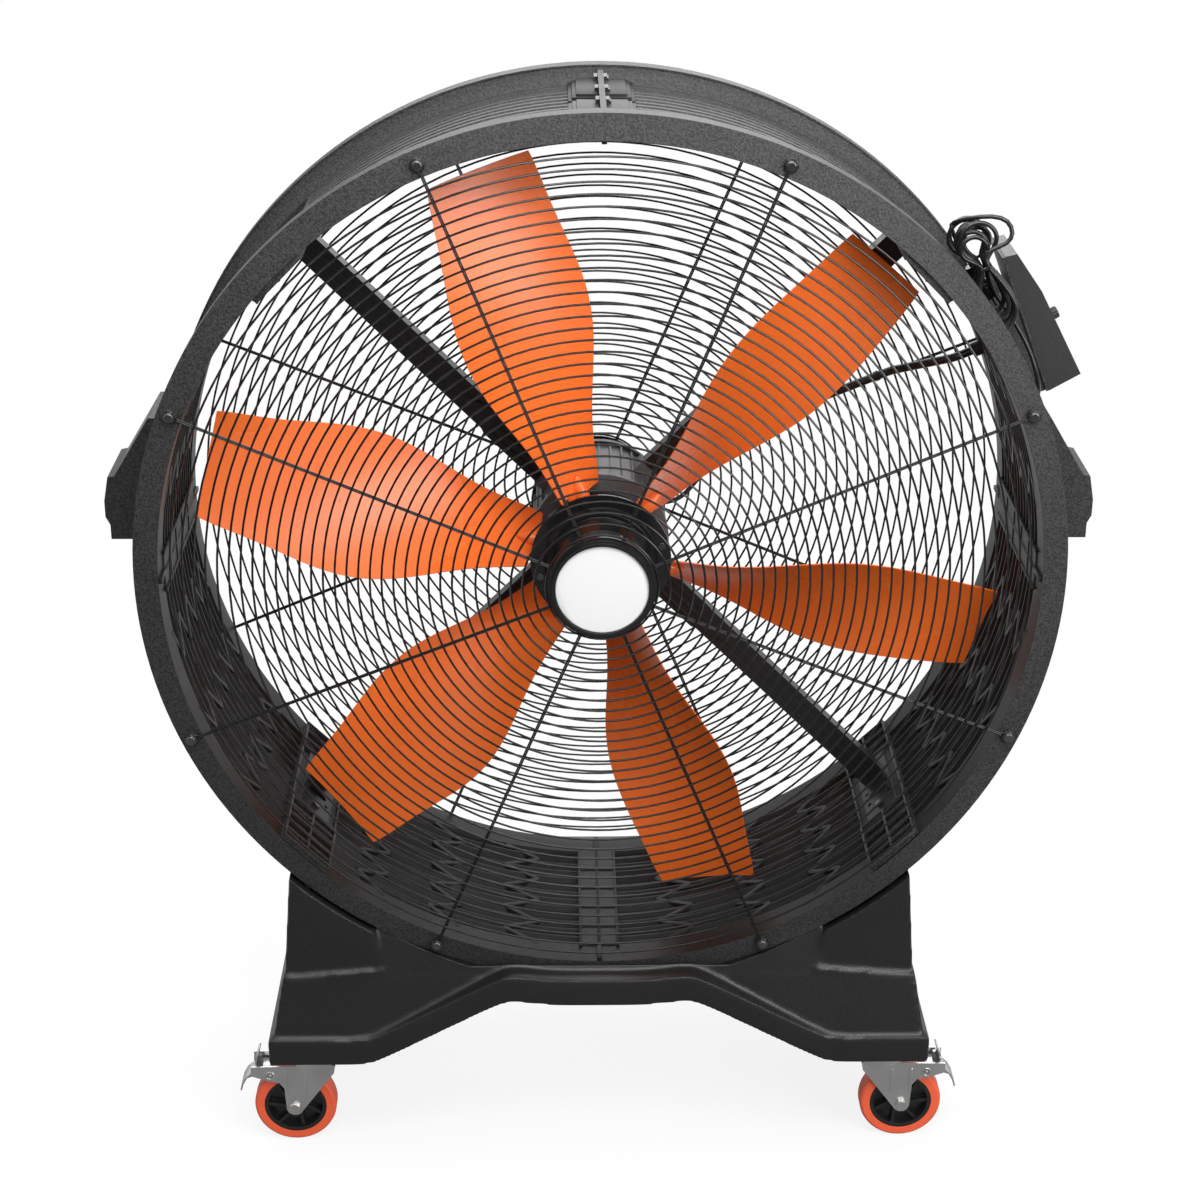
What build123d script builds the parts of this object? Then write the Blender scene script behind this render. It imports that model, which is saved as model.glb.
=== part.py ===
"""Drum fan on a moulded stand with four swivel castors.

Millimetres. The origin is on the floor under the middle of the drum, +X is to the right
seen from the front, +Y points to the back, +Z is up. The fan's shaft lies along Y.
Pieces of the drum are drawn about the shaft, at the top, and turned to their places.
"""
from build123d import *

from math import asin, atan2, cos, degrees, dist, hypot, pi, radians, sin, sqrt, tan
import os

# ---- drum ----
rim_radius = 650.0            # outer edge of the two flanges
mouth_radius = 614.5          # inner edge of the flanges, and the wall's inner crests
mouth_half_depth = 188.0      # from the middle of the drum to a mouth's inner edge
rim_half_depth = 180.0        # from the middle to a flange's outer edge
lip_depth = 28.0              # how far the flange's outer edge is turned back
drum_wall = 3.5
rib_count = 13                # corrugations of the wall
rib_pitch = 22.0
rib_depth = 7.0
rib_crest = 3.0
rib_slope = 5.0
axis_height = 940.0           # shaft above the floor
web_height = 29.0             # joint webs outside the wall
web_thickness = 4.0
column_half_width = 28.0      # flat strips beside the joints, inside
column_rise = 2.5
pillar_half_width = 44.0      # flats that carry the motor's arms
pillar_radius = 610.0
pillar_thickness = 14.0
pillar_floor = 5.0
guard_screw_radius = 632.0    # where the guards' screws stand on the flange
boss_radius = 9.0
boss_height = 4.2
screw_radius = 3.0
screw_clearance = 0.1
bolt_radius = 4.0
bolt_head_radius = 7.0
bolt_head_height = 5.5
bolt_clearance = 0.1

# ---- guards ----
wire_radius = 1.6             # of the rings
spoke_radius = 1.2            # of the spokes' thinner wire
spoke_gap = 2.5               # from the middle of a spoke's one wire to the other's
eye_radius = 8.6
neck_radius = 6.0             # where a spoke opens into its eye
guard_inner_radius = 60.0
guard_rise = 17.0             # how far the guard's middle stands out
guard_ring_count = 33
guard_ring_first = 78.0
guard_ring_pitch = 16.2
guard_ring_sides = 8          # sides of the rings' drawn wire
weld_gap = 0.1
guard_count = 8
guard_plate_radius = 75.5
guard_plate_thickness = 2.8
badge_radius = 65.0
badge_thickness = 6.0
badge_rim_width = 5.0
badge_rim_depth = 9.5

# ---- fan ----
blade_count = 6
blade_first_angle = -17.0     # degrees, clockwise from the top seen from the front
blade_tip = 573.0
blade_thickness = 4.6
blade_edge = 1.6
blade_camber = 0.055          # share of the chord
blade_root_radius = 83.0
blade_notch_radius = 103.0
shaft_radius = 12.0
shaft_front = -118.0
shaft_back = 118.0
hub_radius = 78.0
hub_front = -106.0
hub_back = -40.0
hub_split = -80.0             # the blades' stems lie on this plane
stem_radius = 11.0
stem_inner = 44.0
stem_outer = 122.0
fit_clearance = 0.05
cover_radius = 100.0
cover_front = -113.0
cover_thickness = 3.0
cover_screw_circle = 89.0
cover_screw_count = 4
cover_screw_angle = -15.0
clamp_bolt_circle = 62.0

# ---- motor ----
motor_radius = 95.0
motor_wall = 9.0
motor_front = -19.0
motor_back = 112.0
shield_radius = 100.0
shield_thickness = 10.0
bearing_radius = 26.0
bearing_width = 15.0
bearing_inner_wall = 0.03     # running clearance on the shaft
bearing_seat_wall = 7.0
air_gap = 0.8
rotor_radius = 52.0
core_front = 12.0
core_back = 80.0
winding_length = 16.0
fin_count = 36
fin_height = 3.5
fin_width = 3.0
arm_width = 38.0
arm_depth = 26.0
arm_middle = 56.0             # Y of the four arms
arm_wall = 3.0
lug_width = 46.0
lug_reach = 112.0
foot_width = 56.0
foot_length = 160.0
foot_middle = 20.0
foot_thickness = 3.0
strap_reach = 277.0           # where the ribbed strap on an arm ends
strap_thickness = 4.0
strap_half_width = 21.0
terminal_size = 64.0
terminal_depth = 36.0
lead_radius = 3.5
conduit_radius = 6.5
clip_thickness = 1.2
gland_radius = 11.0
gland_y = 134.0               # where the lead goes through the drum's wall
gland_angle = 67.0

# ---- stand ----
stand_half_depth = 222.0
stand_half_width = 497.0
stand_foot = 165.0            # underside of the feet above the floor
stand_band = 44.0             # upright band along the lower edge
stand_wall = 5.0
cheek_half_depth = 192.0
cheek_half_width = 472.0
pocket_half_depth = 190.4      # the flanges stand in a pocket of the stand
cheek_top_half_width = 457.0
cheek_inner = 323.0           # their inner ends, at the lower crease
cheek_inner_slant = 11.0      # and how far they lean outwards at the top
skirt_top = -552.0            # the skirt goes on between the cheeks up to here
cheek_foot = -636.0           # from the shaft down to the cheeks' lower crease
cheek_top = -468.0
arch_dip = -675.0              # lower edge of the stand at the middle, from the shaft down
arch_rise = 11.0
arch_half_width = 135.0
arch_slope_width = 215.0
foot_slope_width = 28.0
stand_bolt_angle = 41.0        # from straight down

# ---- castors ----
castor_x = 432.0
castor_y = 160.0
wheel_radius = 62.5
wheel_width = 32.0
rim_outer_radius = 47.5
wheel_hub_radius = 15.0
wheel_hub_length = 38.0
axle_radius = 6.0
trail = 34.0
fork_gap = 40.0
fork_wall = 3.0
fork_top = 139.0
fork_web_z = 136.0
plate_length = 105.0
plate_width = 85.0
plate_thickness = 4.0
race_radius = 26.0
race_gap = 0.3
cup_outer_radius = 34.0
cup_top = 154.0
kingpin_radius = 6.0
plate_hole_x = 38.0
plate_hole_y = 29.0
pedal_pivot_x = -70.0
pedal_pivot_z = 121.0
pedal_pin_radius = 4.0
pedal_half_width = 17.5
pedal_sheet = 2.5
spoke_count = 7
wheel_spoke_slant = 20.0

# ---- side lugs ----
side_lug_reach = 706.0
side_lug_half_depth = 60.0
side_lug_low = 14.0
side_lug_high = 108.0
side_lug_wedge = 196.0
seat_gap = 0.3

# ---- control box ----
box_angle = 68.4              # direction of the box's base plate
box_plane = 673.4             # base plate from the shaft
box_start = -175.0            # along the drum, towards the top
box_end = 37.0
box_front = 2.0
box_depth = 108.0
box_wall = 3.0
box_heights = ((3.0, 21.4), (67.6, 37.7), (204.0, 53.6))
knob_along = 123.0            # from the box's upper end
knob_radius = 8.0
knob_height = 10.0
knob_rib_radius = 0.9
knob_lift = 1.0               # from the box's face to the knob
knob_stem_radius = 3.0
saddle_start = -112.0
saddle_end = 35.0
saddle_length = 149.0
saddle_wall = 4.0
board_thickness = 2.0

# ---- mains cord; places are from the shaft ----
cord_diameter = 6.4
hank_place = (516.0, 429.0)   # x and z of its waist
hank_front = -122.0
hank_turns = 8
hank_pitch = 7.1
hank_lean = 24.0              # its upper end leans to the left
hank_waist = 4.6              # from the middle to the cord at the waist
waist_radius = 10.0
upper_lobe = (21.0, 18.0)     # radius, and the run that leads to it
lower_lobe = (25.0, 50.0)
tie_gap = 0.4
tie_thickness = 1.6
tie_height = 4.0
plug_place = (527.0, -36.0, 389.0)   # beside the drum, behind the hank
plug_lean = -35.0
plug_radius = 19.0
plug_length = 52.0
gland_along = 22.0            # mains gland in the saddle's front wall
gland_radius_out = 655.0
mains_gland_length = 26.0
mains_gland_radius = 9.0


def at_axis(shape):
    """Lifts a shape that is drawn about the shaft to its place above the floor."""
    return Pos(0, 0, axis_height) * shape


def around(shape, angle):
    """Turns a shape about the shaft, clockwise from the top seen from the front."""
    return Rot(0, angle, 0) * shape


def block(x, y, z):
    """A box between two limits on each axis."""
    size = [high - low for low, high in (x, y, z)]
    middle = [(low + high) / 2 for low, high in (x, y, z)]
    return Pos(*middle) * Box(*size)


def disc(radius, y_low, y_high):
    """A cylinder along the shaft."""
    return Pos(0, (y_low + y_high) / 2, 0) * Rot(90, 0, 0) * Cylinder(radius, y_high - y_low)


def tube(radius, bore, y_low, y_high):
    """A ring along the shaft."""
    return disc(radius, y_low, y_high) - disc(bore, y_low - 1, y_high + 1)


def spindle(radius, z_low, z_high):
    """A cylinder along Z."""
    return Pos(0, 0, (z_low + z_high) / 2) * Cylinder(radius, z_high - z_low)


def turned(points, angle=360.0):
    """Turns an outline of (radius, y) points about the shaft."""
    outline = make_face(Polyline(*[(r, y, 0) for r, y in points], close=True))
    return revolve(outline, axis=Axis.Y, revolution_arc=angle)


def slab(points, y_low, y_high):
    """An outline of (x, z) points between two depths."""
    outline = make_face(Polyline(*[(x, y_low, z) for x, z in points], close=True))
    return extrude(outline, amount=y_high - y_low, dir=(0, 1, 0))


def joined(pieces):
    """One shape from several that meet."""
    whole = pieces[0]
    for piece in pieces[1:]:
        whole = whole + piece
    return whole


def save(shape, name):
    """Writes one node; a list is a group of separate solids."""
    solids = shape if isinstance(shape, list) else list(shape.solids())
    whole = solids[0] if len(solids) == 1 else Compound(children=solids)
    export_step(whole, f"parts/{name}.step")


def group(pieces):
    """The solids of several pieces, kept apart."""
    return [solid for piece in pieces for solid in piece.solids()]


# ---------------------------------------------------------------- drum

def flange_face_y(radius):
    """How far forward the flange's sloping face is at a radius."""
    share = (radius - mouth_radius) / (rim_radius - mouth_radius)
    return mouth_half_depth + share * (rim_half_depth - mouth_half_depth)


def wall_outline():
    """Cross-section of flanges and corrugated wall, as (radius, y)."""
    half_wall = rib_count * rib_pitch / 2
    inside, outside = [], []
    for index in range(rib_count):
        start = -half_wall + index * rib_pitch
        steps = ((0.0, 0.0), (rib_crest, 0.0), (rib_crest + rib_slope, rib_depth),
                 (rib_pitch - rib_slope, rib_depth))
        for along, rise in steps:
            inside.append((mouth_radius + rise, start + along))
            outside.append((mouth_radius + rise + drum_wall, start + along))
    inside.append((mouth_radius, half_wall))
    outside.append((mouth_radius + drum_wall, half_wall))
    lip_inner = rim_radius - drum_wall
    lip_y = rim_half_depth - lip_depth
    root = mouth_radius + drum_wall
    front = [(root, -flange_face_y(root) + drum_wall), (lip_inner, -flange_face_y(lip_inner) + drum_wall),
             (lip_inner, -lip_y), (rim_radius, -lip_y), (rim_radius, -rim_half_depth),
             (mouth_radius, -mouth_half_depth)]
    back = [(r, -y) for r, y in reversed(front)]
    return front + inside + back + list(reversed(outside))


def guard_boss(side):
    """Seat of a guard screw on the flange, at the top; side is -1 at the front."""
    face = flange_face_y(guard_screw_radius)
    low, high = sorted((side * (face - drum_wall), side * (face + boss_height)))
    boss = disc(boss_radius, low, high) - disc(screw_radius, low - 1, high + 1)
    return Pos(0, 0, guard_screw_radius) * boss


def screw_hole(side):
    """The hole under a guard screw."""
    low, high = sorted((side * rim_half_depth / 2, side * mouth_half_depth * 1.1))
    return Pos(0, 0, guard_screw_radius) * disc(screw_radius, low, high)


def seam_bolt_places():
    """Y of the bolts through the drum's joint webs."""
    reach = rib_count * rib_pitch / 2 - 23.0
    return [-reach, -reach / 3, reach / 3, reach]


def seam_bolt_radius():
    """Distance of the seam bolts from the shaft."""
    return mouth_radius + drum_wall + rib_depth + 12.0


def joint_end():
    """Flat strip inside and upright web outside, on the clockwise side of a joint at the top."""
    half_wall = rib_count * rib_pitch / 2
    strip_top = mouth_radius + rib_depth + drum_wall - 1.0
    strip = block((0, column_half_width), (-half_wall, half_wall), (mouth_radius - column_rise, strip_top))
    web_base = mouth_radius + drum_wall / 2
    web = block((0, web_thickness), (-half_wall - 6, half_wall + 6), (web_base, web_base + web_height))
    for y in seam_bolt_places():
        across = Pos(0, y, seam_bolt_radius()) * Rot(0, 90, 0)
        hole = across * Cylinder(bolt_radius + bolt_clearance, 3 * web_thickness)
        web = web - hole
    return strip + web


def pillar_pocket():
    """Recess behind a pillar, open to the outside, at the top."""
    half = pillar_half_width - 10
    floor = pillar_radius + pillar_floor
    return block((-half, half), (-130, 130), (floor, pillar_radius + 2 * pillar_thickness))


def pillar():
    """Flat at the middle of a quadrant that carries an arm's foot, at the top."""
    body = block((-pillar_half_width, pillar_half_width), (-mouth_half_depth + 4, mouth_half_depth - 4),
                 (pillar_radius, pillar_radius + pillar_thickness))
    line = [(0.0, 0.0), (64.0, 0.0), (0.0, 24.0)]
    outline = make_face(Polyline(*[(-2, y, z) for y, z in line], close=True))
    gusset = extrude(outline, amount=4, dir=(1, 0, 0))
    place = Pos(0, -rim_half_depth + lip_depth - 3, pillar_radius + pillar_floor - 0.5)
    return body - pillar_pocket() + place * gusset


def foot_bolt_places():
    """(x, y) of the two bolts through each arm's foot."""
    return [(0.0, foot_middle - foot_length / 2 + 18), (0.0, foot_middle + foot_length / 2 - 18)]


def drum_quadrant(number):
    """One quarter of the drum, clockwise from the top."""
    shell = around(turned(wall_outline(), 90), -90)
    start = joint_end()
    end = around(mirror(joint_end(), about=Plane.YZ), 90)
    middle = 45
    quadrant = joined([shell - around(pillar_pocket(), middle), start, end, around(pillar(), middle)])
    for place in (22.5, 67.5):
        for side in (-1, 1):
            quadrant = quadrant - around(screw_hole(side), place) + around(guard_boss(side), place)
    for x, y in foot_bolt_places():
        hole = Pos(x, y, pillar_radius + 3) * Cylinder(bolt_radius + bolt_clearance, 20)
        quadrant = quadrant - around(hole, middle)
    if number == 0:
        gland_hole = Pos(0, gland_y, mouth_radius) * Cylinder(gland_radius - 2, 60)
        quadrant = quadrant - around(gland_hole, gland_angle)
    for angle, y in stand_bolt_places():
        if 90 * number < angle < 90 * number + 90:
            hole = Pos(0, y, rim_radius) * Cylinder(bolt_radius + bolt_clearance, 10)
            quadrant = quadrant - around(hole, angle - 90 * number)
    return at_axis(around(quadrant, 90 * number))


def stand_bolt_places():
    """Angle and Y of the bolts through the flanges' turned edges into the stand."""
    y = rim_half_depth - lip_depth / 2
    angles = (180 - stand_bolt_angle, 180 + stand_bolt_angle)
    return [(angle, place) for angle in angles for place in (-y, y)]


def bolt(grip):
    """A bolt along +Z: hexagonal head below the origin, nut above the grip."""
    hexagon = extrude(RegularPolygon(bolt_head_radius, 6), amount=bolt_head_height)
    head, nut = Pos(0, 0, -bolt_head_height) * hexagon, Pos(0, 0, grip) * hexagon
    return head + spindle(bolt_radius, -1, grip + bolt_head_height + 2) + nut


def stand_bolts():
    """Bolts of the stand, heads under the flanges' turned edges."""
    pieces = []
    for angle, y in stand_bolt_places():
        one = Pos(0, y, rim_radius - drum_wall) * bolt(drum_wall + seat_gap + stand_wall)
        pieces.append(at_axis(around(one, angle)))
    return pieces


def castor_bolts():
    """Bolts of the castors' plates, nuts inside the stand."""
    pieces = []
    for x, y, turn in castor_places():
        for sx in (-1, 1):
            for sy in (-1, 1):
                place = Pos(x + sx * plate_hole_x, y + sy * plate_hole_y, stand_foot - plate_thickness)
                pieces.append(place * bolt(plate_thickness + stand_wall))
    return pieces


def seam_bolts():
    """Bolts through the webs of the drum's four joints."""
    pieces = []
    for number in range(4):
        for y in seam_bolt_places():
            one = Pos(-web_thickness, y, seam_bolt_radius()) * Rot(0, 90, 0) * bolt(2 * web_thickness)
            pieces.append(at_axis(around(one, 90 * number)))
    return pieces


# ---------------------------------------------------------------- guards

def guard_line_y(radius):
    """Depth of the spokes' wires at a radius: they slope out to the middle."""
    seat = flange_face_y(guard_screw_radius) + boss_height + seat_gap + spoke_radius
    share = (guard_screw_radius - radius) / (guard_screw_radius - guard_inner_radius)
    return -(seat + share * guard_rise)


def guard_spoke():
    """A hairpin of wire: two legs and an eye round the screw, at the top."""
    half = spoke_gap / 2
    reach = hypot(guard_screw_radius - guard_inner_radius, guard_rise)
    plane = Plane(origin=(0, guard_line_y(guard_inner_radius), guard_inner_radius), x_dir=(1, 0, 0),
                  z_dir=(0, -cos(radians(guard_slope())), sin(radians(guard_slope()))))
    neck = reach - sqrt((neck_radius + eye_radius) ** 2 - (half + neck_radius) ** 2)
    turn = atan2(reach - neck, half + neck_radius)
    touch = (half + neck_radius - neck_radius * cos(turn), neck + neck_radius * sin(turn))
    bend = (half + neck_radius - neck_radius * cos(turn / 2), neck + neck_radius * sin(turn / 2))
    path = Curve() + [
        Line((-half, 0), (-half, neck)),
        ThreePointArc((-half, neck), (-bend[0], bend[1]), (-touch[0], touch[1])),
        ThreePointArc((-touch[0], touch[1]), (0, reach + eye_radius), touch),
        ThreePointArc(touch, bend, (half, neck)), Line((half, neck), (half, 0))]
    placed = plane.location * path
    start = Plane(origin=placed @ 0, z_dir=placed % 0)
    return sweep(start * Circle(spoke_radius), path=placed)


def guard_slope():
    """Degrees between the guard and the drum's mouth."""
    return degrees(atan2(guard_rise, guard_screw_radius - guard_inner_radius))


def guard_ring(radius):
    """One ring of wire, welded in front of the spokes."""
    y = guard_line_y(radius) - spoke_radius - weld_gap - wire_radius
    section = Pos(radius, y, 0) * RegularPolygon(wire_radius, guard_ring_sides)
    return revolve(section, axis=Axis.Y)


def guard():
    """Spokes and rings of the front guard, about the shaft."""
    spoke = guard_spoke()
    pieces = [around(spoke, (index + 0.5) * 360 / guard_count) for index in range(guard_count)]
    pieces += [guard_ring(guard_ring_first + index * guard_ring_pitch) for index in range(guard_ring_count)]
    return pieces


def guard_screw():
    """A pan-head screw through a guard's eye, at the top."""
    seat = guard_line_y(guard_screw_radius) - spoke_radius - seat_gap
    washer = disc(eye_radius - 0.4, seat - 1.2, seat)
    head = disc(eye_radius - 2, seat - 5, seat - 1) + washer
    shank = disc(screw_radius - screw_clearance, seat - 2, seat + 22)
    head = fillet(head.edges().filter_by(GeomType.CIRCLE).sort_by(Axis.Y)[0], 1.8)
    return Pos(0, 0, guard_screw_radius) * (head + shank)


def guard_screws():
    """The screws of both guards."""
    front = guard_screw()
    back = mirror(front, about=Plane.XZ)
    angles = [(index + 0.5) * 360 / guard_count for index in range(guard_count)]
    return [at_axis(around(one, angle)) for one in (front, back) for angle in angles]


def plate_y():
    """Depth of the front guard's centre plate at its back."""
    return guard_line_y(guard_inner_radius) - spoke_radius - seat_gap


def guard_plate():
    """Centre plate of a guard, in front of the spokes' ends."""
    return disc(guard_plate_radius, plate_y() - guard_plate_thickness, plate_y())


def badge_rim():
    """Front centre plate with the rim that holds the badge."""
    front = plate_y() - guard_plate_thickness
    rim = tube(badge_radius + badge_rim_width, badge_radius + fit_clearance, front - badge_rim_depth, front)
    return guard_plate() + rim


def badge():
    """Plain round badge."""
    front = plate_y() - guard_plate_thickness
    plain = disc(badge_radius, front - badge_thickness, front)
    return fillet(plain.edges().filter_by(GeomType.CIRCLE).sort_by(Axis.Y)[0], 1.5)


# ---------------------------------------------------------------- fan

def blade_shape(radius):
    """Pitch in degrees, chord and middle depth of a blade at a radius."""
    stations = ((90, 59, 94, -80), (160, 53, 125, -84), (240, 44.5, 172, -88), (320, 36.5, 211, -87),
                (400, 29.5, 206, -82), (490, 23, 174, -73), (573, 21.2, 151, -59))
    for low, high in zip(stations, stations[1:]):
        if radius <= high[0]:
            share = (radius - low[0]) / (high[0] - low[0])
            return [a + share * (b - a) for a, b in zip(low[1:], high[1:])]
    return stations[-1][1:]


def blade_section(radius):
    """Cambered section of a blade, square to the blade's length."""
    pitch, chord, middle_y = blade_shape(radius)
    along = (cos(radians(pitch)), sin(radians(pitch)))
    across = (-along[1], along[0])
    sag = blade_camber * chord

    def spot(share, height):
        return (share * chord * along[0] + height * across[0],
                middle_y + share * chord * along[1] + height * across[1], radius)

    edge, half = blade_edge / 2, blade_thickness / 2
    front = ThreePointArc(spot(-0.5, -edge), spot(0, sag - half), spot(0.5, -edge))
    back = ThreePointArc(spot(-0.5, edge), spot(0, sag + half), spot(0.5, edge))
    ends = [Line(spot(-0.5, -edge), spot(-0.5, edge)), Line(spot(0.5, -edge), spot(0.5, edge))]
    return make_face(Curve() + [front, back] + ends)


def blade():
    """One blade with its round stem, at the top."""
    sheet = loft([blade_section(radius) for radius in (90, 160, 240, 320, 400, 490, blade_tip)])
    sheet = sheet - disc(blade_root_radius, -150, 0) - disc(blade_notch_radius, -150, hub_front + 6)
    stem = spindle(stem_radius, stem_inner, stem_outer - 16)
    taper = Pos(0, 0, stem_outer - 8) * Cone(stem_radius, 3, 16)
    return sheet + Pos(0, hub_split, 0) * (stem + taper)


def clamp_bolt_angles():
    """Angles of the bolts between the blades' stems."""
    step = 360 / blade_count
    return [blade_first_angle + (index + 0.5) * step for index in range(blade_count)]


def hub_half(y_low, y_high):
    """One of the two discs that clamp the blades' stems."""
    half = tube(hub_radius, shaft_radius + fit_clearance, y_low, y_high)
    for index in range(blade_count):
        seat = spindle(stem_radius + fit_clearance, stem_inner - fit_clearance, hub_radius + 5)
        half = half - around(Pos(0, hub_split, 0) * seat, blade_first_angle + index * 360 / blade_count)
    for angle in clamp_bolt_angles():
        hole = disc(bolt_radius + bolt_clearance, hub_front - 10, hub_back + 10)
        half = half - around(Pos(0, 0, clamp_bolt_circle) * hole, angle)
    return half


def cover_screw_holes(radius):
    """Holes on the cover's screw circle."""
    angles = [cover_screw_angle + index * 360 / cover_screw_count for index in range(cover_screw_count)]
    return [around(Pos(0, 0, cover_screw_circle) * disc(radius, -140, -90), angle) for angle in angles]


def hub_ring():
    """Rear half of the cover's seat: a thin plate in front of the hub with four screw pads."""
    plate = tube(cover_radius - 3, shaft_radius + 14, cover_front + cover_thickness, hub_front)
    for hole in cover_screw_holes(screw_radius):
        plate = plate - hole
    for angle in clamp_bolt_angles():
        hole = Pos(0, 0, clamp_bolt_circle) * disc(bolt_head_radius + 1.5, hub_front - 10, hub_back)
        plate = plate - around(hole, angle)
    return plate


def hub_cover():
    """Stepped cap over the front of the hub."""
    t = cover_thickness
    f = cover_front
    outside = [(cover_radius, f + t), (cover_radius, f), (81, f), (76, f - 9), (70, f - 9), (60, f - 34),
               (54, f - 37), (46, f - 37), (40, f - 43), (0, f - 43)]
    inside = [(0, f - 43 + t), (40 - t / 2, f - 43 + t), (46 - t / 2, f - 37 + t), (54 - t, f - 37 + t),
              (60 - t, f - 34 + t), (70 - t, f - 9 + t), (76 - t, f - 9 + t), (81 - t, f + t)]
    cap = turned(outside + inside)
    for hole in cover_screw_holes(screw_radius):
        cap = cap - hole
    return cap


def cover_screws():
    """Screws of the hub's cap."""
    pieces = []
    for index in range(cover_screw_count):
        angle = cover_screw_angle + index * 360 / cover_screw_count
        head = disc(5.5, cover_front - 3, cover_front)
        one = head + disc(screw_radius - screw_clearance, cover_front - 1, hub_front - 0.5)
        pieces.append(at_axis(around(Pos(0, 0, cover_screw_circle) * one, angle)))
    return pieces


def clamp_bolts():
    """Bolts that hold the two halves of the hub together."""
    pieces = []
    for angle in clamp_bolt_angles():
        one = disc(bolt_head_radius, hub_front - 3, hub_front)
        one = one + disc(bolt_radius, hub_front - 1, hub_back - 2)
        pieces.append(at_axis(around(Pos(0, 0, clamp_bolt_circle) * one, angle)))
    return pieces


# ---------------------------------------------------------------- motor

def motor_housing():
    """Finned body with four lugs for the arms."""
    section = Circle(motor_radius) - Circle(motor_radius - motor_wall)
    circle = PolarLocations(motor_radius + fin_height / 2 - 0.5, fin_count)
    fins = circle * Rectangle(fin_height + 1, fin_width)
    body = Rot(-90, 0, 0) * extrude(section + fins, amount=motor_back - motor_front)
    body = Pos(0, motor_front, 0) * body
    for index in range(4):
        half_depth = arm_depth / 2 + 4
        lug = block((-lug_width / 2, lug_width / 2), (arm_middle - half_depth, arm_middle + half_depth),
                    (motor_radius - 4, lug_reach))
        body = body + around(lug, 45 + 90 * index)
    return body


def bearing_seat_y(front):
    """Depth range of a bearing."""
    if front:
        return motor_front - shield_thickness + 3, motor_front - shield_thickness + 3 + bearing_width
    return motor_back + shield_thickness - 3 - bearing_width, motor_back + shield_thickness - 3


def end_shield(front):
    """Cap of the motor with its bearing's seat."""
    low, high = bearing_seat_y(front)
    if front:
        plate = disc(shield_radius, motor_front - shield_thickness, motor_front)
        spigot_low, spigot_high = motor_front, high
    else:
        plate = disc(shield_radius + 1, motor_back, motor_back + shield_thickness)
        spigot_low, spigot_high = low, motor_back
    seat = disc(bearing_radius + bearing_seat_wall, spigot_low, spigot_high)
    shield = plate + seat - disc(bearing_radius, low, high)
    if front:
        shield = shield - disc(shaft_radius + 2, motor_front - 20, high + 1)
    return shield


def bearings():
    """Front and rear ball bearings, as plain rings."""
    pieces = []
    for front in (True, False):
        low, high = bearing_seat_y(front)
        pieces.append(tube(bearing_radius, shaft_radius + bearing_inner_wall, low, high))
    return pieces


def stator():
    """Core and windings, pressed into the housing."""
    bore = rotor_radius + air_gap
    core = tube(motor_radius - motor_wall, bore, core_front, core_back)
    coils = [tube(bore + 24, bore + 3, core_front - winding_length, core_front),
             tube(bore + 24, bore + 3, core_back, core_back + winding_length)]
    return joined([core] + coils)


def arm():
    """A hollow beam from the motor's lug to the drum, at the top."""
    half = arm_width / 2
    low, high = arm_middle - arm_depth / 2, arm_middle + arm_depth / 2
    beam_top = pillar_radius - foot_thickness
    beam = block((-half, half), (low, high), (lug_reach, beam_top))
    beam = beam - block((-half + arm_wall, half - arm_wall), (low + arm_wall, high - arm_wall),
                        (lug_reach - 1, beam_top + 1))
    for x in (-7.0, 7.0):
        beam = beam - block((x - 1.2, x + 1.2), (low - 1, low + 1), (lug_reach - 1, beam_top + 1))
    return beam


def arm_strap():
    """Ribbed strap that ties an arm to the motor, on the arm's front, at the top."""
    y = arm_middle - arm_depth / 2
    half, shoulder = strap_half_width, strap_reach - 60
    outline = [(-half, lug_reach), (half, lug_reach), (half, shoulder), (0, strap_reach), (-half, shoulder)]
    strap = slab(outline, y - strap_thickness, y)
    for x in (-12, 0, 12):
        strap = strap + block((x - 1.5, x + 1.5), (y - strap_thickness - 3, y - 1), (lug_reach, shoulder - 2))
    return strap


def arm_foot():
    """Plate on the drum that an arm ends on, at the top."""
    low, high = foot_middle - foot_length / 2, foot_middle + foot_length / 2
    plate = block((-foot_width / 2, foot_width / 2), (low, high),
                  (pillar_radius - foot_thickness, pillar_radius))
    slot = Pos(0, foot_middle - 22, pillar_radius) * extrude(SlotOverall(34, 15), amount=20, both=True)
    plate = plate - slot
    for x, y in foot_bolt_places():
        plate = plate - Pos(x, y, pillar_radius) * Cylinder(bolt_radius + bolt_clearance, 20)
    for x in (-19, 19):
        for y in (low + 40, low + 72):
            plate = plate - Pos(x, y, pillar_radius) * Cylinder(3.5, 20)
    return plate


def foot_bolts():
    """Bolts of the arms' feet, heads inside the drum."""
    pieces = []
    for number in range(4):
        for x, y in foot_bolt_places():
            one = Pos(x, y, pillar_radius - foot_thickness) * bolt(foot_thickness + pillar_floor)
            pieces.append(at_axis(around(one, 45 + 90 * number)))
    return pieces


def terminal_box():
    """Connection box on the back of the motor."""
    half = terminal_size / 2
    start = motor_back + shield_thickness
    body = block((-half, half), (start, start + terminal_depth), (-half, half))
    body = fillet(body.edges().filter_by(Axis.Y), 6)
    hollow = block((-half + 3, half - 3), (start + 3, start + terminal_depth - 3), (-half + 3, half - 3))
    exit_hole = Pos(half, start + terminal_depth / 2, 0) * Rot(0, 90, 0) * Cylinder(lead_radius + 0.2, 12)
    return body - hollow - exit_hole


def gland_line(radius, y):
    """A point in the direction of the lead's gland in the wall."""
    return (radius * sin(radians(gland_angle)), y, radius * cos(radians(gland_angle)))


def conduit_y(radius):
    """Depth of the conduit where it is clipped under a spoke of the back guard."""
    return -guard_line_y(radius) - spoke_radius - clip_thickness - seat_gap - conduit_radius


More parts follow.
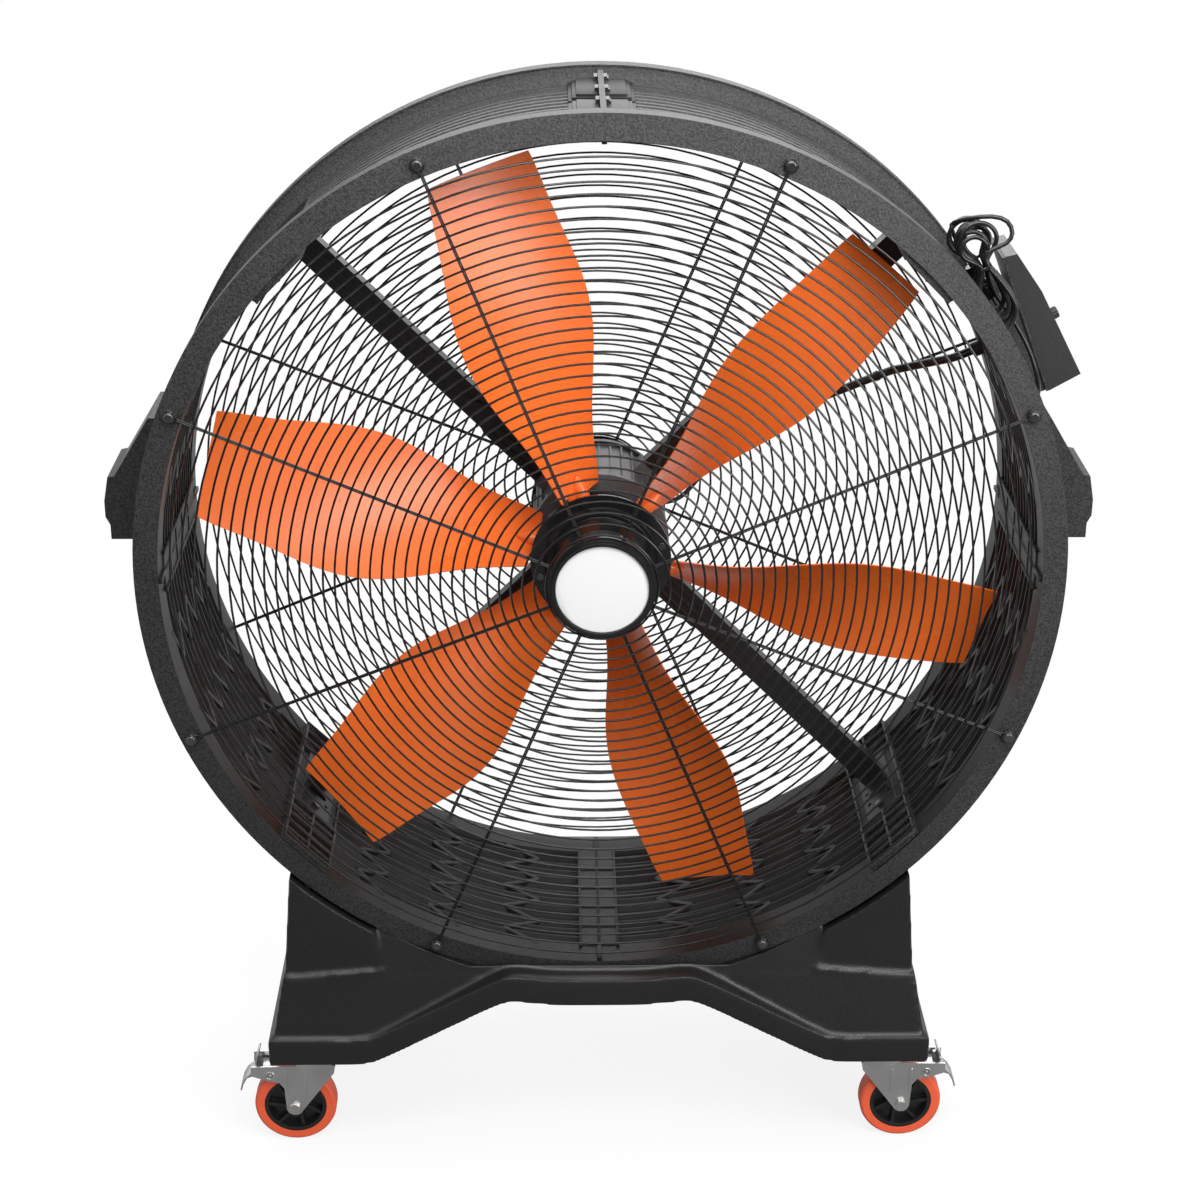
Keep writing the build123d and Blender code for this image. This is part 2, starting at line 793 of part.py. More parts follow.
def conduit_points():
    """Corners of the conduit, from the motor's side to the wall."""
    return [gland_line(327, conduit_y(327)), gland_line(480, conduit_y(480)), gland_line(572, gland_y),
            gland_line(mouth_radius - 14, gland_y)]


def lead_points():
    """Corners of the motor's lead, from the connection box to the conduit."""
    exit_y = motor_back + shield_thickness + terminal_depth / 2
    start, towards = Vector(*conduit_points()[0]), Vector(*conduit_points()[1])
    last = start - (towards - start).normalized() * 42
    return [(terminal_size / 2, exit_y, 0), (64, exit_y, 0), (97, 146, -12), (128, 154, -5), (151, 163, 20),
            (178, 173, 50), (214, 184, 78), tuple(last), tuple(start)]


def filleted_path(points, name, end_share=0.45):
    """Straight runs joined by arcs as large as the runs allow; prints the radii.

    An arc takes up to 0.45 of the runs beside it, and end_share of the first and last."""
    vectors = [Vector(*point) for point in points]
    runs = [after - before for before, after in zip(vectors, vectors[1:])]
    room = [0.45 * run.length for run in runs]
    room[0], room[-1] = end_share * runs[0].length, end_share * runs[-1].length
    radii = []
    for index in range(len(runs) - 1):
        turn = radians(runs[index].get_angle(runs[index + 1]))
        radii.append(min(room[index], room[index + 1]) / tan(turn / 2))
    print(name, "arc radii", [round(radius, 1) for radius in radii])
    return FilletPolyline(*points, radius=radii)


def swept(path, radius):
    """A round tube along a path, with its volume set against section times length."""
    start = Plane(origin=path @ 0, z_dir=path % 0)
    piece = sweep(start * Circle(radius), path=path)
    expected = pi * radius ** 2 * path.length
    print("  length", round(path.length, 1), "volume share", round(piece.volume / expected, 4))
    return piece


def motor_lead():
    """Cable from the connection box to the conduit."""
    return swept(filleted_path(lead_points(), "motor lead"), lead_radius)


def lead_conduit():
    """Stiff conduit along the back guard, bent to meet its gland in the wall."""
    return swept(FilletPolyline(*conduit_points(), radius=40.0), conduit_radius)


def wall_gland():
    """Gland of the conduit in the drum's wall, at the top."""
    inside = spindle(gland_radius, mouth_radius - 14, mouth_radius - 0.3)
    thread = spindle(gland_radius - 2.2, mouth_radius - 1, mouth_radius + 24)
    nut_low = mouth_radius + rib_depth + drum_wall + 0.3
    nut = spindle(gland_radius, nut_low, nut_low + 7)
    bore = spindle(lead_radius + 0.5, mouth_radius - 20, mouth_radius + 40)
    return Pos(0, gland_y, 0) * (inside + thread + nut - bore)


def conduit_clips():
    """Bands that hold the conduit to the back guard's spoke."""
    start, end = [Vector(*point) for point in conduit_points()[:2]]
    clips = []
    for share in (0.12, 0.85):
        plane = Plane(origin=start + (end - start) * share, z_dir=end - start)
        band = Cylinder(conduit_radius + clip_thickness, 7) - Cylinder(conduit_radius, 9)
        clips.append(plane.location * band)
    return clips


# ---------------------------------------------------------------- stand

def arch_line(inset):
    """Lower edge of the stand from left to right, as (x, z) about the shaft."""
    foot = stand_foot - axis_height + inset
    dip = arch_dip + inset
    peak = dip + arch_rise
    start, end = arch_half_width + inset / 2, arch_half_width + arch_slope_width + inset / 2
    right = [(arch_half_width * 0.5, dip + 3), (start - 12, peak - 1), (start + 12, peak - 3),
             (end - foot_slope_width, foot + 12), (end, foot), (stand_half_width - inset, foot)]
    left = [(-x, z) for x, z in reversed(right)]
    return left + right


def stand_form(inset):
    """Outer form of the stand, or its hollow when inset by the wall."""
    foot = stand_foot - axis_height + inset
    upper = cheek_foot - inset
    line = arch_line(inset)
    depth, side = stand_half_depth - inset, stand_half_width - inset
    cheek_depth, cheek_side = cheek_half_depth - inset, cheek_half_width - inset
    raised = [(x, z + stand_band - 2 * inset) for x, z in reversed(line)]
    band = slab(line + raised, -depth, depth)
    skirt = loft([Pos(0, 0, foot + stand_band - 2 * inset) * Rectangle(2 * side, 2 * depth),
                  Pos(0, 0, upper) * Rectangle(2 * cheek_side, 2 * cheek_depth)])
    beyond = side + 50
    over = slab(line + [(beyond, foot), (beyond, 0), (-beyond, 0), (-beyond, foot)], -depth - 5, depth + 5)
    pocket = rim_radius + seat_gap + inset
    low = (band + (skirt & over)) - disc(pocket, -pocket_half_depth - inset, pocket_half_depth + inset)
    inner = cheek_inner + inset
    top = cheek_top - inset
    cheek_line = [(inner, upper - 4), (cheek_side, upper - 4), (cheek_top_half_width - inset, top),
                  (inner + cheek_inner_slant, top), (inner, upper)]
    cheek = slab(cheek_line, -cheek_depth, cheek_depth)
    cheeks = (cheek + mirror(cheek, about=Plane.YZ)) - disc(pocket, -2 * depth, 2 * depth)
    return low + cheeks + skirt_rise(inset)


def skirt_rise(inset):
    """The skirt's slope carried on upwards between the cheeks, beside the drum."""
    slope = (stand_half_depth - cheek_half_depth) / (cheek_foot - (stand_foot - axis_height + stand_band))
    low, high = cheek_foot - inset - 4, skirt_top
    half = cheek_inner + cheek_inner_slant / 2 + inset
    ends = []
    for z in (low, high):
        half_depth = cheek_half_depth - inset - slope * (z + inset - cheek_foot)
        ends.append(Pos(0, 0, z) * Rectangle(2 * half, 2 * half_depth))
    return loft(ends) - disc(rim_radius + seat_gap + inset, -2 * stand_half_depth, 2 * stand_half_depth)


def castor_places():
    """(x, y, turn) of the castors; the front ones trail outwards and the rear ones inwards."""
    return [(-castor_x, -castor_y, 0.0), (castor_x, -castor_y, 180.0),
            (-castor_x, castor_y, 180.0), (castor_x, castor_y, 0.0)]


def stand():
    """Moulded stand: one hollow shell with bolt holes."""
    shell = at_axis(stand_form(0.0) - stand_form(stand_wall))
    for x, y, turn in castor_places():
        for sx in (-1, 1):
            for sy in (-1, 1):
                hole = Pos(x + sx * plate_hole_x, y + sy * plate_hole_y, stand_foot) * Cylinder(
                    bolt_radius + bolt_clearance, 4 * stand_wall)
                shell = shell - hole
    for angle, y in stand_bolt_places():
        hole = Pos(0, y, rim_radius) * Cylinder(bolt_radius + bolt_clearance, 40)
        shell = shell - at_axis(around(hole, angle))
    return shell


# ---------------------------------------------------------------- castors

def castor_plate():
    """Top plate with the upper race and kingpin, about the swivel axis."""
    top = stand_foot
    plate = block((-plate_length / 2, plate_length / 2), (-plate_width / 2, plate_width / 2),
                  (top - plate_thickness, top))
    plate = fillet(plate.edges().filter_by(Axis.Z), 9)
    for sx in (-1, 1):
        for sy in (-1, 1):
            hole = Pos(sx * plate_hole_x, sy * plate_hole_y, top) * Cylinder(bolt_radius + bolt_clearance, 20)
            plate = plate - hole
    race = spindle(race_radius, fork_top + race_gap, top - plate_thickness)
    pin = spindle(kingpin_radius, fork_web_z - 3, fork_top + 2)
    head = spindle(10, fork_web_z - race_gap - 5.5, fork_web_z - race_gap)
    return joined([plate, race, pin, head])


def fork_side(braked):
    """Outline of a fork's side plate, as (x, z)."""
    axle_z = wheel_radius
    r = 13.0
    foot = [(-trail + r * sin(radians(a)), axle_z - r * cos(radians(a))) for a in (-75, -45, -15, 15, 45, 70)]
    rear = [(28.0, 126.0), (30.0, fork_top)]
    if braked:
        front = [(-98.0, fork_top - 2), (-99.0, fork_top - 18), (-72.0, 111.0), (-56.0, 108.0), (-49.0, 98.0)]
    else:
        front = [(-44.0, fork_top), (-50.0, 112.0)]
    return foot + rear + front


def fork(braked):
    """Pressed-steel fork with its axle, about the swivel axis, trailing to -X."""
    half = fork_gap / 2
    outline = fork_side(braked)
    sides = [slab(outline, half, half + fork_wall), slab(outline, -half - fork_wall, -half)]
    web = block((-30, 30), (-half - 1, half + 1), (fork_web_z, fork_top))
    cup = spindle(cup_outer_radius, fork_top - 1, cup_top)
    cup = cup - spindle(race_radius + race_gap, fork_top - 5, cup_top + 1)
    body = joined([sides[0], sides[1], web]) + cup
    body = body - spindle(kingpin_radius + fit_clearance, fork_web_z - 5, fork_top + 1)
    axle_hole = Pos(-trail, 0, wheel_radius) * disc(axle_radius + fit_clearance, -60, 60)
    body = body - axle_hole
    if braked:
        body = body - Pos(pedal_pivot_x, 0, pedal_pivot_z) * disc(pedal_pin_radius, -60, 60)
    return body


def axle():
    """Axle bolt with its nut."""
    half = fork_gap / 2 + fork_wall
    pin = disc(axle_radius, -half - 2, half + 2)
    head = fillet((disc(10.0, -half - 5, -half)).edges().sort_by(Axis.Y)[0], 2)
    nut = Pos(0, half, 0) * Rot(-90, 0, 0) * extrude(RegularPolygon(9.5, 6), amount=6)
    return Pos(-trail, 0, wheel_radius) * joined([pin, head, nut])


def pedal():
    """Brake pedal on its pin, about the swivel axis."""
    px, pz = pedal_pivot_x, pedal_pivot_z
    low = slab([(px - 2, pz + 4), (px - 26, pz + 1), (px - 49, pz - 46), (px - 46, pz - 47.5),
                (px - 24.5, pz - 3), (px - 2, pz - 0.5)], -pedal_half_width, pedal_half_width)
    high = slab([(px - 20, pz), (px - 24, pz + 30), (px - 21.5, pz + 30.5), (px - 17, pz)], -pedal_half_width,
                pedal_half_width)
    boss = Pos(px, 0, pz) * disc(5.5, -pedal_half_width, pedal_half_width)
    pin = Pos(px, 0, pz) * disc(pedal_pin_radius - fit_clearance, -fork_gap / 2 - fork_wall - 1.5,
                                fork_gap / 2 + fork_wall + 1.5)
    return joined([low, high, boss, pin])


def wheel_rim():
    """Moulded wheel centre with slanted spokes."""
    half = wheel_width / 2 - 1
    band = tube(rim_outer_radius, rim_outer_radius - 6, -half, half)
    hub = disc(wheel_hub_radius, -wheel_hub_length / 2, wheel_hub_length / 2)
    middle = (wheel_hub_radius + rim_outer_radius) / 2 - 3
    spoke = Pos(4, 0, middle) * Rot(0, wheel_spoke_slant, 0) * Box(5, 22, 32)
    spokes = [around(spoke, index * 360 / spoke_count) for index in range(spoke_count)]
    web = disc(rim_outer_radius - 3, -2, 2)
    rim = joined([band, hub, web] + spokes) - disc(axle_radius + fit_clearance, -40, 40)
    return Pos(-trail, 0, wheel_radius) * rim


def wheel_tread():
    """Cast tyre with rounded shoulders."""
    half = wheel_width / 2
    outline = [(rim_outer_radius, -half), (wheel_radius - 4, -half), (wheel_radius - 1, -half + 2.5),
               (wheel_radius, -half + 6), (wheel_radius, half - 6), (wheel_radius - 1, half - 2.5),
               (wheel_radius - 4, half), (rim_outer_radius, half)]
    return Pos(-trail, 0, wheel_radius) * turned(outline)


# ---------------------------------------------------------------- side lugs and control box

def side_lug():
    """Moulded handle block with a sloping fin above it, on the right."""
    inner, reach, low = mouth_radius, side_lug_reach, side_lug_low
    outline = [(inner, low), (reach - 6, low), (reach - 6, low + 22), (reach, low + 34), (reach, low + 58),
               (reach - 7, side_lug_high), (reach - 17, side_lug_high + 2), (636, side_lug_wedge),
               (inner - 20, side_lug_wedge)]
    lug = slab(outline, -side_lug_half_depth, side_lug_half_depth)
    return lug - disc(mouth_radius + rib_depth + drum_wall + seat_gap, -200, 200)


def box_frame(shape):
    """Turns a shape drawn over the top of the drum to the control box's place."""
    return at_axis(around(shape, box_angle))


def box_outline(inset):
    """Side view of the control box, as (along, height over its base plane)."""
    points = [(box_start + inset, inset)]
    for along, height in box_heights:
        shift = inset if along < 10 else (-inset if along > 190 else 0)
        points.append((box_start + along + shift, height - inset))
    points.append((box_end - inset, inset))
    return [(x, box_plane + z) for x, z in points]


def box_top(along):
    """Height of the box's outer face at a place along it."""
    (a0, h0), (a1, h1) = box_heights[1:]
    return box_plane + h0 + (along - a0) / (a1 - a0) * (h1 - h0)


def knob_plane():
    """Plane of the outer face at the knob, in the box's frame."""
    (a0, h0), (a1, h1) = box_heights[1:]
    slope = atan2(h1 - h0, a1 - a0)
    origin = (box_start + knob_along, box_front + box_depth / 2, box_top(knob_along))
    return Plane(origin=origin, x_dir=(cos(slope), 0, sin(slope)), z_dir=(-sin(slope), 0, cos(slope)))


def box_opening():
    """The box's hollow, open towards its base plate."""
    inner = box_outline(box_wall)
    return [(x, z if z > box_plane + 2 * box_wall else box_plane - 1) for x, z in inner]


def control_box():
    """Housing, open towards its base plate."""
    low, high = box_front, box_front + box_depth
    body = slab(box_outline(0.0), low, high)
    body = body - slab(box_opening(), low + box_wall, high - box_wall)
    body = body - block((box_start - 9, box_end + 9), (low - 1, high + 1),
                        (box_plane - 1, box_plane + saddle_wall))
    return body - knob_plane().location * Cylinder(knob_stem_radius + 1, 30)


def control_plate():
    """Base plate of the control box."""
    return block((box_start + 1, box_end - 1), (box_front, box_front + box_depth),
                 (box_plane, box_plane + saddle_wall))


def control_saddle():
    """Bracket that carries the box on the drum's wall."""
    low, high = box_front + 4, box_front + saddle_length
    wall, start, end = saddle_wall, saddle_start, saddle_end
    outline = [(start, box_plane), (end, box_plane), (end, 570), (start + 60, 570)]
    inner_top = box_plane - wall
    hollow = [(start + 14, inner_top), (end - wall, inner_top), (end - wall, 560), (start + 66, 560)]
    saddle = slab(outline, low, high) - slab(hollow, low + wall, high - wall)
    return saddle - disc(mouth_radius + rib_depth + drum_wall + seat_gap, -200, 200)


def mains_gland():
    """Gland of the mains cord in the saddle's front wall, in the box's frame."""
    face = box_front + 4 - seat_gap
    front = face - mains_gland_length
    body = disc(mains_gland_radius, front + 8, face) + disc(mains_gland_radius - 2, front, face)
    bore = disc(cord_diameter / 2 + 0.2, front - 1, front + 4)
    return Pos(gland_along, 0, gland_radius_out) * (body - bore)


def knob():
    """Speed knob with finger ribs, in the box's frame."""
    from_face = (Align.CENTER, Align.CENTER, Align.MIN)
    body = Cylinder(knob_radius, knob_height, align=from_face)
    body = fillet(body.edges().sort_by(Axis.Z)[-1], 1.2)
    for index in range(12):
        place = Rot(0, 0, index * 30) * Pos(knob_radius, 0, knob_height / 2)
        body = body + place * Cylinder(knob_rib_radius, knob_height - 3)
    bore = Pos(0, 0, -1) * Cylinder(knob_stem_radius + fit_clearance, knob_height - 1, align=from_face)
    return knob_plane().location * Pos(0, 0, knob_lift) * (body - bore)


def speed_controller():
    """Circuit board on posts, with the regulator that carries the knob, in the box's frame."""
    place = knob_plane().location
    up_to_face = (Align.CENTER, Align.CENTER, Align.MAX)
    regulator = place * Pos(0, 0, -box_wall - 0.2) * Cylinder(9, 16, align=up_to_face)
    stem_top = knob_lift + knob_height - 3
    stem = place * Pos(0, 0, stem_top) * Cylinder(knob_stem_radius, 30, align=up_to_face)
    board_top = regulator.bounding_box().min.Z - seat_gap
    low, high = box_front + 14, box_front + box_depth - 14
    start, end = box_start + 82, box_start + 190
    board = block((start, end), (low, high), (board_top - board_thickness, board_top))
    post = spindle(3, box_plane + saddle_wall, board_top - 1)
    for x in (start + 6, end - 6):
        for y in (low + 6, high - 6):
            board = board + Pos(x, y, 0) * post
    return [board, regulator + stem]


# ---------------------------------------------------------------- mains cord

def hank_point(across, up, y):
    """A point of the hank from its waist, in the frame of the shaft."""
    lean = radians(hank_lean)
    return (hank_place[0] + across * cos(lean) - up * sin(lean), y,
            hank_place[1] + across * sin(lean) + up * cos(lean))


def half_loop(lobe, level, end_level, side):
    """Edges from the waist, out along a run, round a lobe and back to the waist.

    side is -1 for the lower lobe, gone round from right to left, and 1 for the upper
    one, from left to right. The first run climbs from one level to the next."""
    radius, run = lobe
    reach = hank_waist + waist_radius
    middle = sqrt(run ** 2 + (waist_radius + radius) ** 2 - reach ** 2)
    spread = asin((waist_radius + radius) / hypot(reach, middle)) - atan2(reach, middle)

    def place(across, up, y):
        return Vector(*hank_point(-side * across, side * up, y))

    bend_end = (reach - waist_radius * cos(spread), waist_radius * sin(spread))
    run_end = (bend_end[0] + run * sin(spread), bend_end[1] + run * cos(spread))
    half_bend = (reach - waist_radius * cos(spread / 2), waist_radius * sin(spread / 2))
    bend_out = ThreePointArc(place(hank_waist, 0, level), place(*half_bend, level), place(*bend_end, level))
    towards = place(*run_end, level) - place(*bend_end, level)
    centre = (place(*bend_end, level) + place(*run_end, end_level)) * 0.5
    climb = Edge.make_tangent_arc(place(*bend_end, level), towards, centre)
    settle = Edge.make_tangent_arc(centre, climb % 1, place(*run_end, end_level))

    def lobe_spot(angle):
        return place(radius * cos(angle), middle + radius * sin(angle), end_level)

    first = -spread
    quarter = (pi + 2 * spread) / 4
    spots = [lobe_spot(first + step * quarter) for step in range(5)]
    turn_one = ThreePointArc(*spots[:3])
    turn_two = ThreePointArc(*spots[2:])
    back = Line(place(-run_end[0], run_end[1], end_level), place(-bend_end[0], bend_end[1], end_level))
    bend_in = ThreePointArc(place(-bend_end[0], bend_end[1], end_level),
                            place(-half_bend[0], half_bend[1], end_level), place(-hank_waist, 0, end_level))
    return [bend_out, climb, settle, turn_one, turn_two, back, bend_in]


def hank_edges():
    """The hank's cord from its front end to its back end, waist to waist."""
    edges = []
    for index in range(hank_turns):
        level = hank_front + index * hank_pitch
        middle = level + hank_pitch / 2
        edges += half_loop(lower_lobe, level, middle, -1)
        edges += half_loop(upper_lobe, middle, level + hank_pitch, 1)
    return edges


def least_gap(edges, radius):
    """Least gap between parts of a cord that are not neighbours along it."""
    points = []
    travelled = 0.0
    for edge in edges:
        steps = max(2, int(edge.length / 2.5))
        for step in range(steps):
            points.append((travelled + edge.length * step / steps, tuple(edge @ (step / steps))))
        travelled += edge.length
    least = 1e9
    for index, (along, spot) in enumerate(points):
        for other, place in points[index + 1:]:
            if other - along > 8 * radius and abs(place[1] - spot[1]) < 4 * radius:
                least = min(least, dist(spot, place))
    return least - 2 * radius


def cord_hank():
    """The wound cord as one unbroken tube."""
    edges = hank_edges()
    wire = Wire(edges)
    radius = cord_diameter / 2
    piece = sweep(Plane(origin=wire @ 0, z_dir=wire % 0) * Circle(radius), path=wire)
    print("hank length", round(wire.length, 1), "least gap", round(least_gap(edges, radius), 3),
          "volume share", round(piece.volume / (pi * radius ** 2 * wire.length), 4))
    return piece


def hank_end(back):
    """Where the hank's cord starts or ends, and which way it runs there."""
    level = hank_front + (hank_turns * hank_pitch if back else 0)
    spot = Vector(*hank_point(hank_waist, 0, level))
    return spot, (Vector(*hank_point(hank_waist, -1, level)) - spot).normalized()


def cord_tie():
    """Band round the hank's waist."""
    half_across = hank_waist + cord_diameter / 2 + tie_gap
    half_depth = hank_turns * hank_pitch / 2 + cord_diameter / 2 + tie_gap
    outer = Rectangle(2 * (half_across + tie_thickness), 2 * (half_depth + tie_thickness))
    outer = fillet(outer.vertices(), 4)
    inner = fillet(Rectangle(2 * half_across, 2 * half_depth).vertices(), 3)
    band = extrude(outer - inner, amount=tie_height / 2, both=True)
    middle = hank_front + hank_turns * hank_pitch / 2
    return Pos(hank_place[0], middle, hank_place[1]) * Rot(0, -hank_lean, 0) * band


def mains_gland_mouth():
    """Where the mains cord enters its gland."""
    turn = radians(box_angle)
    x = gland_along * cos(turn) + gland_radius_out * sin(turn)
    z = gland_radius_out * cos(turn) - gland_along * sin(turn)
    return (x, box_front + 4 - seat_gap - mains_gland_length + 4, z)


def mains_cord():
    """Cord from the hank's back end to the gland of the control box."""
    start, way = hank_end(True)
    mouth = mains_gland_mouth()
    points = [tuple(start), tuple(start + way * 20), (536, -60.4, 386), (578, -60, 330), (600, -66, 290),
              (612, -70, 250), (mouth[0], mouth[1] - 34, mouth[2]), mouth]
    return swept(filleted_path(points, "mains cord"), cord_diameter / 2)


def plug_frame():
    """Frame of the plug: +Z points to its cord."""
    return Pos(*plug_place) * Rot(0, plug_lean, 0)


def plug_cord():
    """Cord from the plug to the hank's front end."""
    top = plug_frame() * Pos(0, 0, plug_length / 2)
    leave = plug_frame() * Pos(0, 0, plug_length / 2 + 60)
    end, way = hank_end(False)
    points = [tuple(top.position), tuple(leave.position), (474, -98, 490), (540, -116, 502), (554, -124, 468),
              tuple(end - way * 22), tuple(end)]
    return swept(filleted_path(points, "plug cord", end_share=0.85), cord_diameter / 2)


def mains_plug():
    """Moulded plug with a ribbed waist and two flat blades and a round one."""
    half = plug_length / 2
    body = Pos(0, 0, -half + 9) * Cylinder(plug_radius, 18)
    body = fillet(body.edges().sort_by(Axis.Z)[0], 2)
    waist = [Pos(0, 0, -half + 18) * Circle(plug_radius), Pos(0, 0, half - 14) * Circle(plug_radius - 7)]
    body = body + loft(waist)
    body = body + Pos(0, 0, half - 7) * Cylinder(plug_radius - 9, 14)
    for index in range(3):
        body = body + Pos(0, 0, -half + 21 + 6 * index) * Cylinder(plug_radius - 1.2 * index, 2.4)
    for x in (-6.4, 6.4):
        body = body + Pos(x, 3, -half - 7) * Box(1.6, 6.5, 16)
    body = body + Pos(0, -8, -half - 7) * Cylinder(2.4, 16)
    return plug_frame() * body


# ---------------------------------------------------------------- everything

def save_drum():
    """Drum, its bolts, guards and badge."""
    for number in range(4):
        save(drum_quadrant(number), f"drum_quadrant_{number + 1}")
    save(group(seam_bolts() + foot_bolts() + stand_bolts() + castor_bolts()), "frame_bolts")
    front = [at_axis(piece) for piece in guard()]
    save(front, "front_guard")
    save([mirror(piece, about=Plane.XZ) for piece in front], "back_guard")
    save(group(guard_screws()), "guard_screws")
    save(group([at_axis(badge_rim()), at_axis(mirror(guard_plate(), about=Plane.XZ))]), "guard_plates")
    save(at_axis(badge()), "badge")


def save_fan():
    """Everything that turns with the shaft."""
    one = blade()
    for index in range(blade_count):
        save(at_axis(around(one, blade_first_angle + index * 360 / blade_count)), f"blade_{index + 1}")
    halves = [hub_half(hub_front, hub_split), hub_half(hub_split, hub_back)]
    save(group([at_axis(half) for half in halves]), "hub_body")
    save(at_axis(hub_ring()), "hub_plate")
    save(at_axis(hub_cover()), "hub_cover")
    save(group(cover_screws() + clamp_bolts()), "hub_screws")
    rotor = tube(rotor_radius, shaft_radius, core_front, core_back)
    save(group([at_axis(disc(shaft_radius, shaft_front, shaft_back)), at_axis(rotor)]), "motor_shaft")


def save_motor():
    """Motor, its arms and its lead."""
    save(at_axis(motor_housing()), "motor_housing")
    save(at_axis(end_shield(True)), "motor_front_shield")
    save(at_axis(end_shield(False)), "motor_rear_shield")
    save(at_axis(stator()), "motor_stator")
    save(group([at_axis(ring) for ring in bearings()]), "motor_bearings")
    save(at_axis(terminal_box()), "terminal_box")
    save(at_axis(motor_lead()), "motor_lead")
    save(at_axis(lead_conduit()), "lead_conduit")
    fittings = [around(wall_gland(), gland_angle)] + conduit_clips()
    save(group([at_axis(piece) for piece in fittings]), "lead_fittings")
    turns = [45 + 90 * index for index in range(4)]
    arms = [at_axis(around(piece, turn)) for piece in (arm(), arm_strap()) for turn in turns]
    save(group(arms), "motor_arms")
    save(group([at_axis(around(arm_foot(), turn)) for turn in turns]), "arm_feet")


def save_control():
    """Side lugs, control box and mains cord."""
    lug = at_axis(side_lug())
    save(group([lug, mirror(lug, about=Plane.YZ)]), "side_lugs")
    save(group([box_frame(control_saddle()), box_frame(control_plate())]), "control_saddle")
    save(box_frame(control_box()), "control_box")
    save(box_frame(knob()), "speed_knob")
    save(group([box_frame(piece) for piece in speed_controller()]), "speed_controller")
    save(box_frame(mains_gland()), "mains_gland")
    save(at_axis(cord_hank()), "cord_hank")
    save(at_axis(cord_tie()), "cord_tie")
    save(at_axis(mains_cord()), "mains_cord")
    save(at_axis(plug_cord()), "plug_cord")
    save(at_axis(mains_plug()), "mains_plug")


def save_stand():
    """Stand and castors."""
    save(stand(), "stand")
    frames = [Pos(x, y, 0) * Rot(0, 0, turn) for x, y, turn in castor_places()]
    save(group([frame * castor_plate() for frame in frames]), "castor_plates")
    for index, frame in enumerate(frames):
        braked = index < 2
        save(group([frame * fork(braked), frame * axle()]), f"castor_fork_{index + 1}")
        save(frame * wheel_rim(), f"wheel_rim_{index + 1}")
        save(frame * wheel_tread(), f"wheel_tread_{index + 1}")
        if braked:
            save(frame * pedal(), f"brake_pedal_{index + 1}")


os.makedirs("parts", exist_ok=True)
save_drum()
save_fan()
save_motor()
save_control()
save_stand()
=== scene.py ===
"""Looks of the drum fan: cords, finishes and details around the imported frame. Metres."""
from math import asin, atan2, cos, hypot, pi, radians, sin, sqrt, tan

import bmesh
import bpy
from mathutils import Matrix, Vector


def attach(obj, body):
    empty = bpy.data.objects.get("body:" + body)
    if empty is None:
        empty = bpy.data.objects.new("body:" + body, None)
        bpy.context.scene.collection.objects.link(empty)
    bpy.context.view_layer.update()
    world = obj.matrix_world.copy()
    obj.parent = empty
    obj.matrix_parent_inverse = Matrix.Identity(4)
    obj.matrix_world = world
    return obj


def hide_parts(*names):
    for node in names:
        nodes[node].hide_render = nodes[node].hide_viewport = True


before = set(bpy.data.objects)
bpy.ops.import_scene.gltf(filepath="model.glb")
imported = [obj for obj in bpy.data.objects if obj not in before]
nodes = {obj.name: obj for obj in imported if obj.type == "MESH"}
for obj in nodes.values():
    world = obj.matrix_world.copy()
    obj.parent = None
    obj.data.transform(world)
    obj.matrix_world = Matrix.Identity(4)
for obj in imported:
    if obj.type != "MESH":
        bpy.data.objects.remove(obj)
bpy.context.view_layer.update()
scene = bpy.context.scene
scene.view_settings.view_transform = "Standard"

axis_height = 0.940


# ---------------------------------------------------------------- camera, lamps and floor

camera_place = (-0.0633, -3.2127, 2.2124)
camera_yaw = radians(1.151)
camera_tilt = radians(23.256)
camera_roll = radians(0.318)
camera_lens = 70.84
camera_sensor = 36.0
camera_reach = 50

drum_middle = (0, 0, 1.15)
fan_middle = (0, 0, 0.8)
stand_side = (0, 0, 0.95)

world_colour = (0.97, 0.98, 1.0, 1)
world_light_way = (0.0, 0.62, 0.78)

# A ramp carries a value from its first two limits to its last two.
world_light_ramp = (-0.6, 0.9, 0.08, 0.75)
world_mirror_ramp = (-0.5, 0.55, 0.05, 1.0)
floor_half_width = 14
floor_cells = 24
floor_fade_ramp = (0.45, 1.15, 0.84, 1.0)
floor_mirror_ramp = (-0.6, 1.2, 0.0, 1.0)
floor_bounce_colour = (0.2, 0.2, 0.2, 1)
floor_seen_colour = (0.86, 0.86, 0.86, 1)


def place_camera():
    """Camera in front of the fan, a little above it."""
    level = cos(camera_tilt)
    ahead = Vector((sin(camera_yaw) * level, cos(camera_yaw) * level, -sin(camera_tilt)))
    right = Vector((cos(camera_yaw), -sin(camera_yaw), 0))
    up = right.cross(ahead)
    turned_right = cos(camera_roll) * right + sin(camera_roll) * up
    turned_up = cos(camera_roll) * up - sin(camera_roll) * right
    data = bpy.data.cameras.new("camera")
    data.sensor_width = camera_sensor
    data.lens = camera_lens
    data.clip_end = camera_reach
    camera = bpy.data.objects.new("camera", data)
    camera.matrix_world = Matrix((turned_right, turned_up, -ahead)).transposed().to_4x4()
    camera.location = camera_place
    scene.collection.objects.link(camera)
    scene.camera = camera


def add_lamp(name, place, target, width, height, power):
    """A soft rectangular lamp; its power is in watts."""
    data = bpy.data.lights.new(name, "AREA")
    data.shape = "RECTANGLE"
    data.size = width
    data.size_y = height
    data.energy = power
    lamp = bpy.data.objects.new(name, data)
    lamp.location = place
    lamp.rotation_euler = (Vector(target) - Vector(place)).to_track_quat("-Z", "Y").to_euler()
    scene.collection.objects.link(lamp)


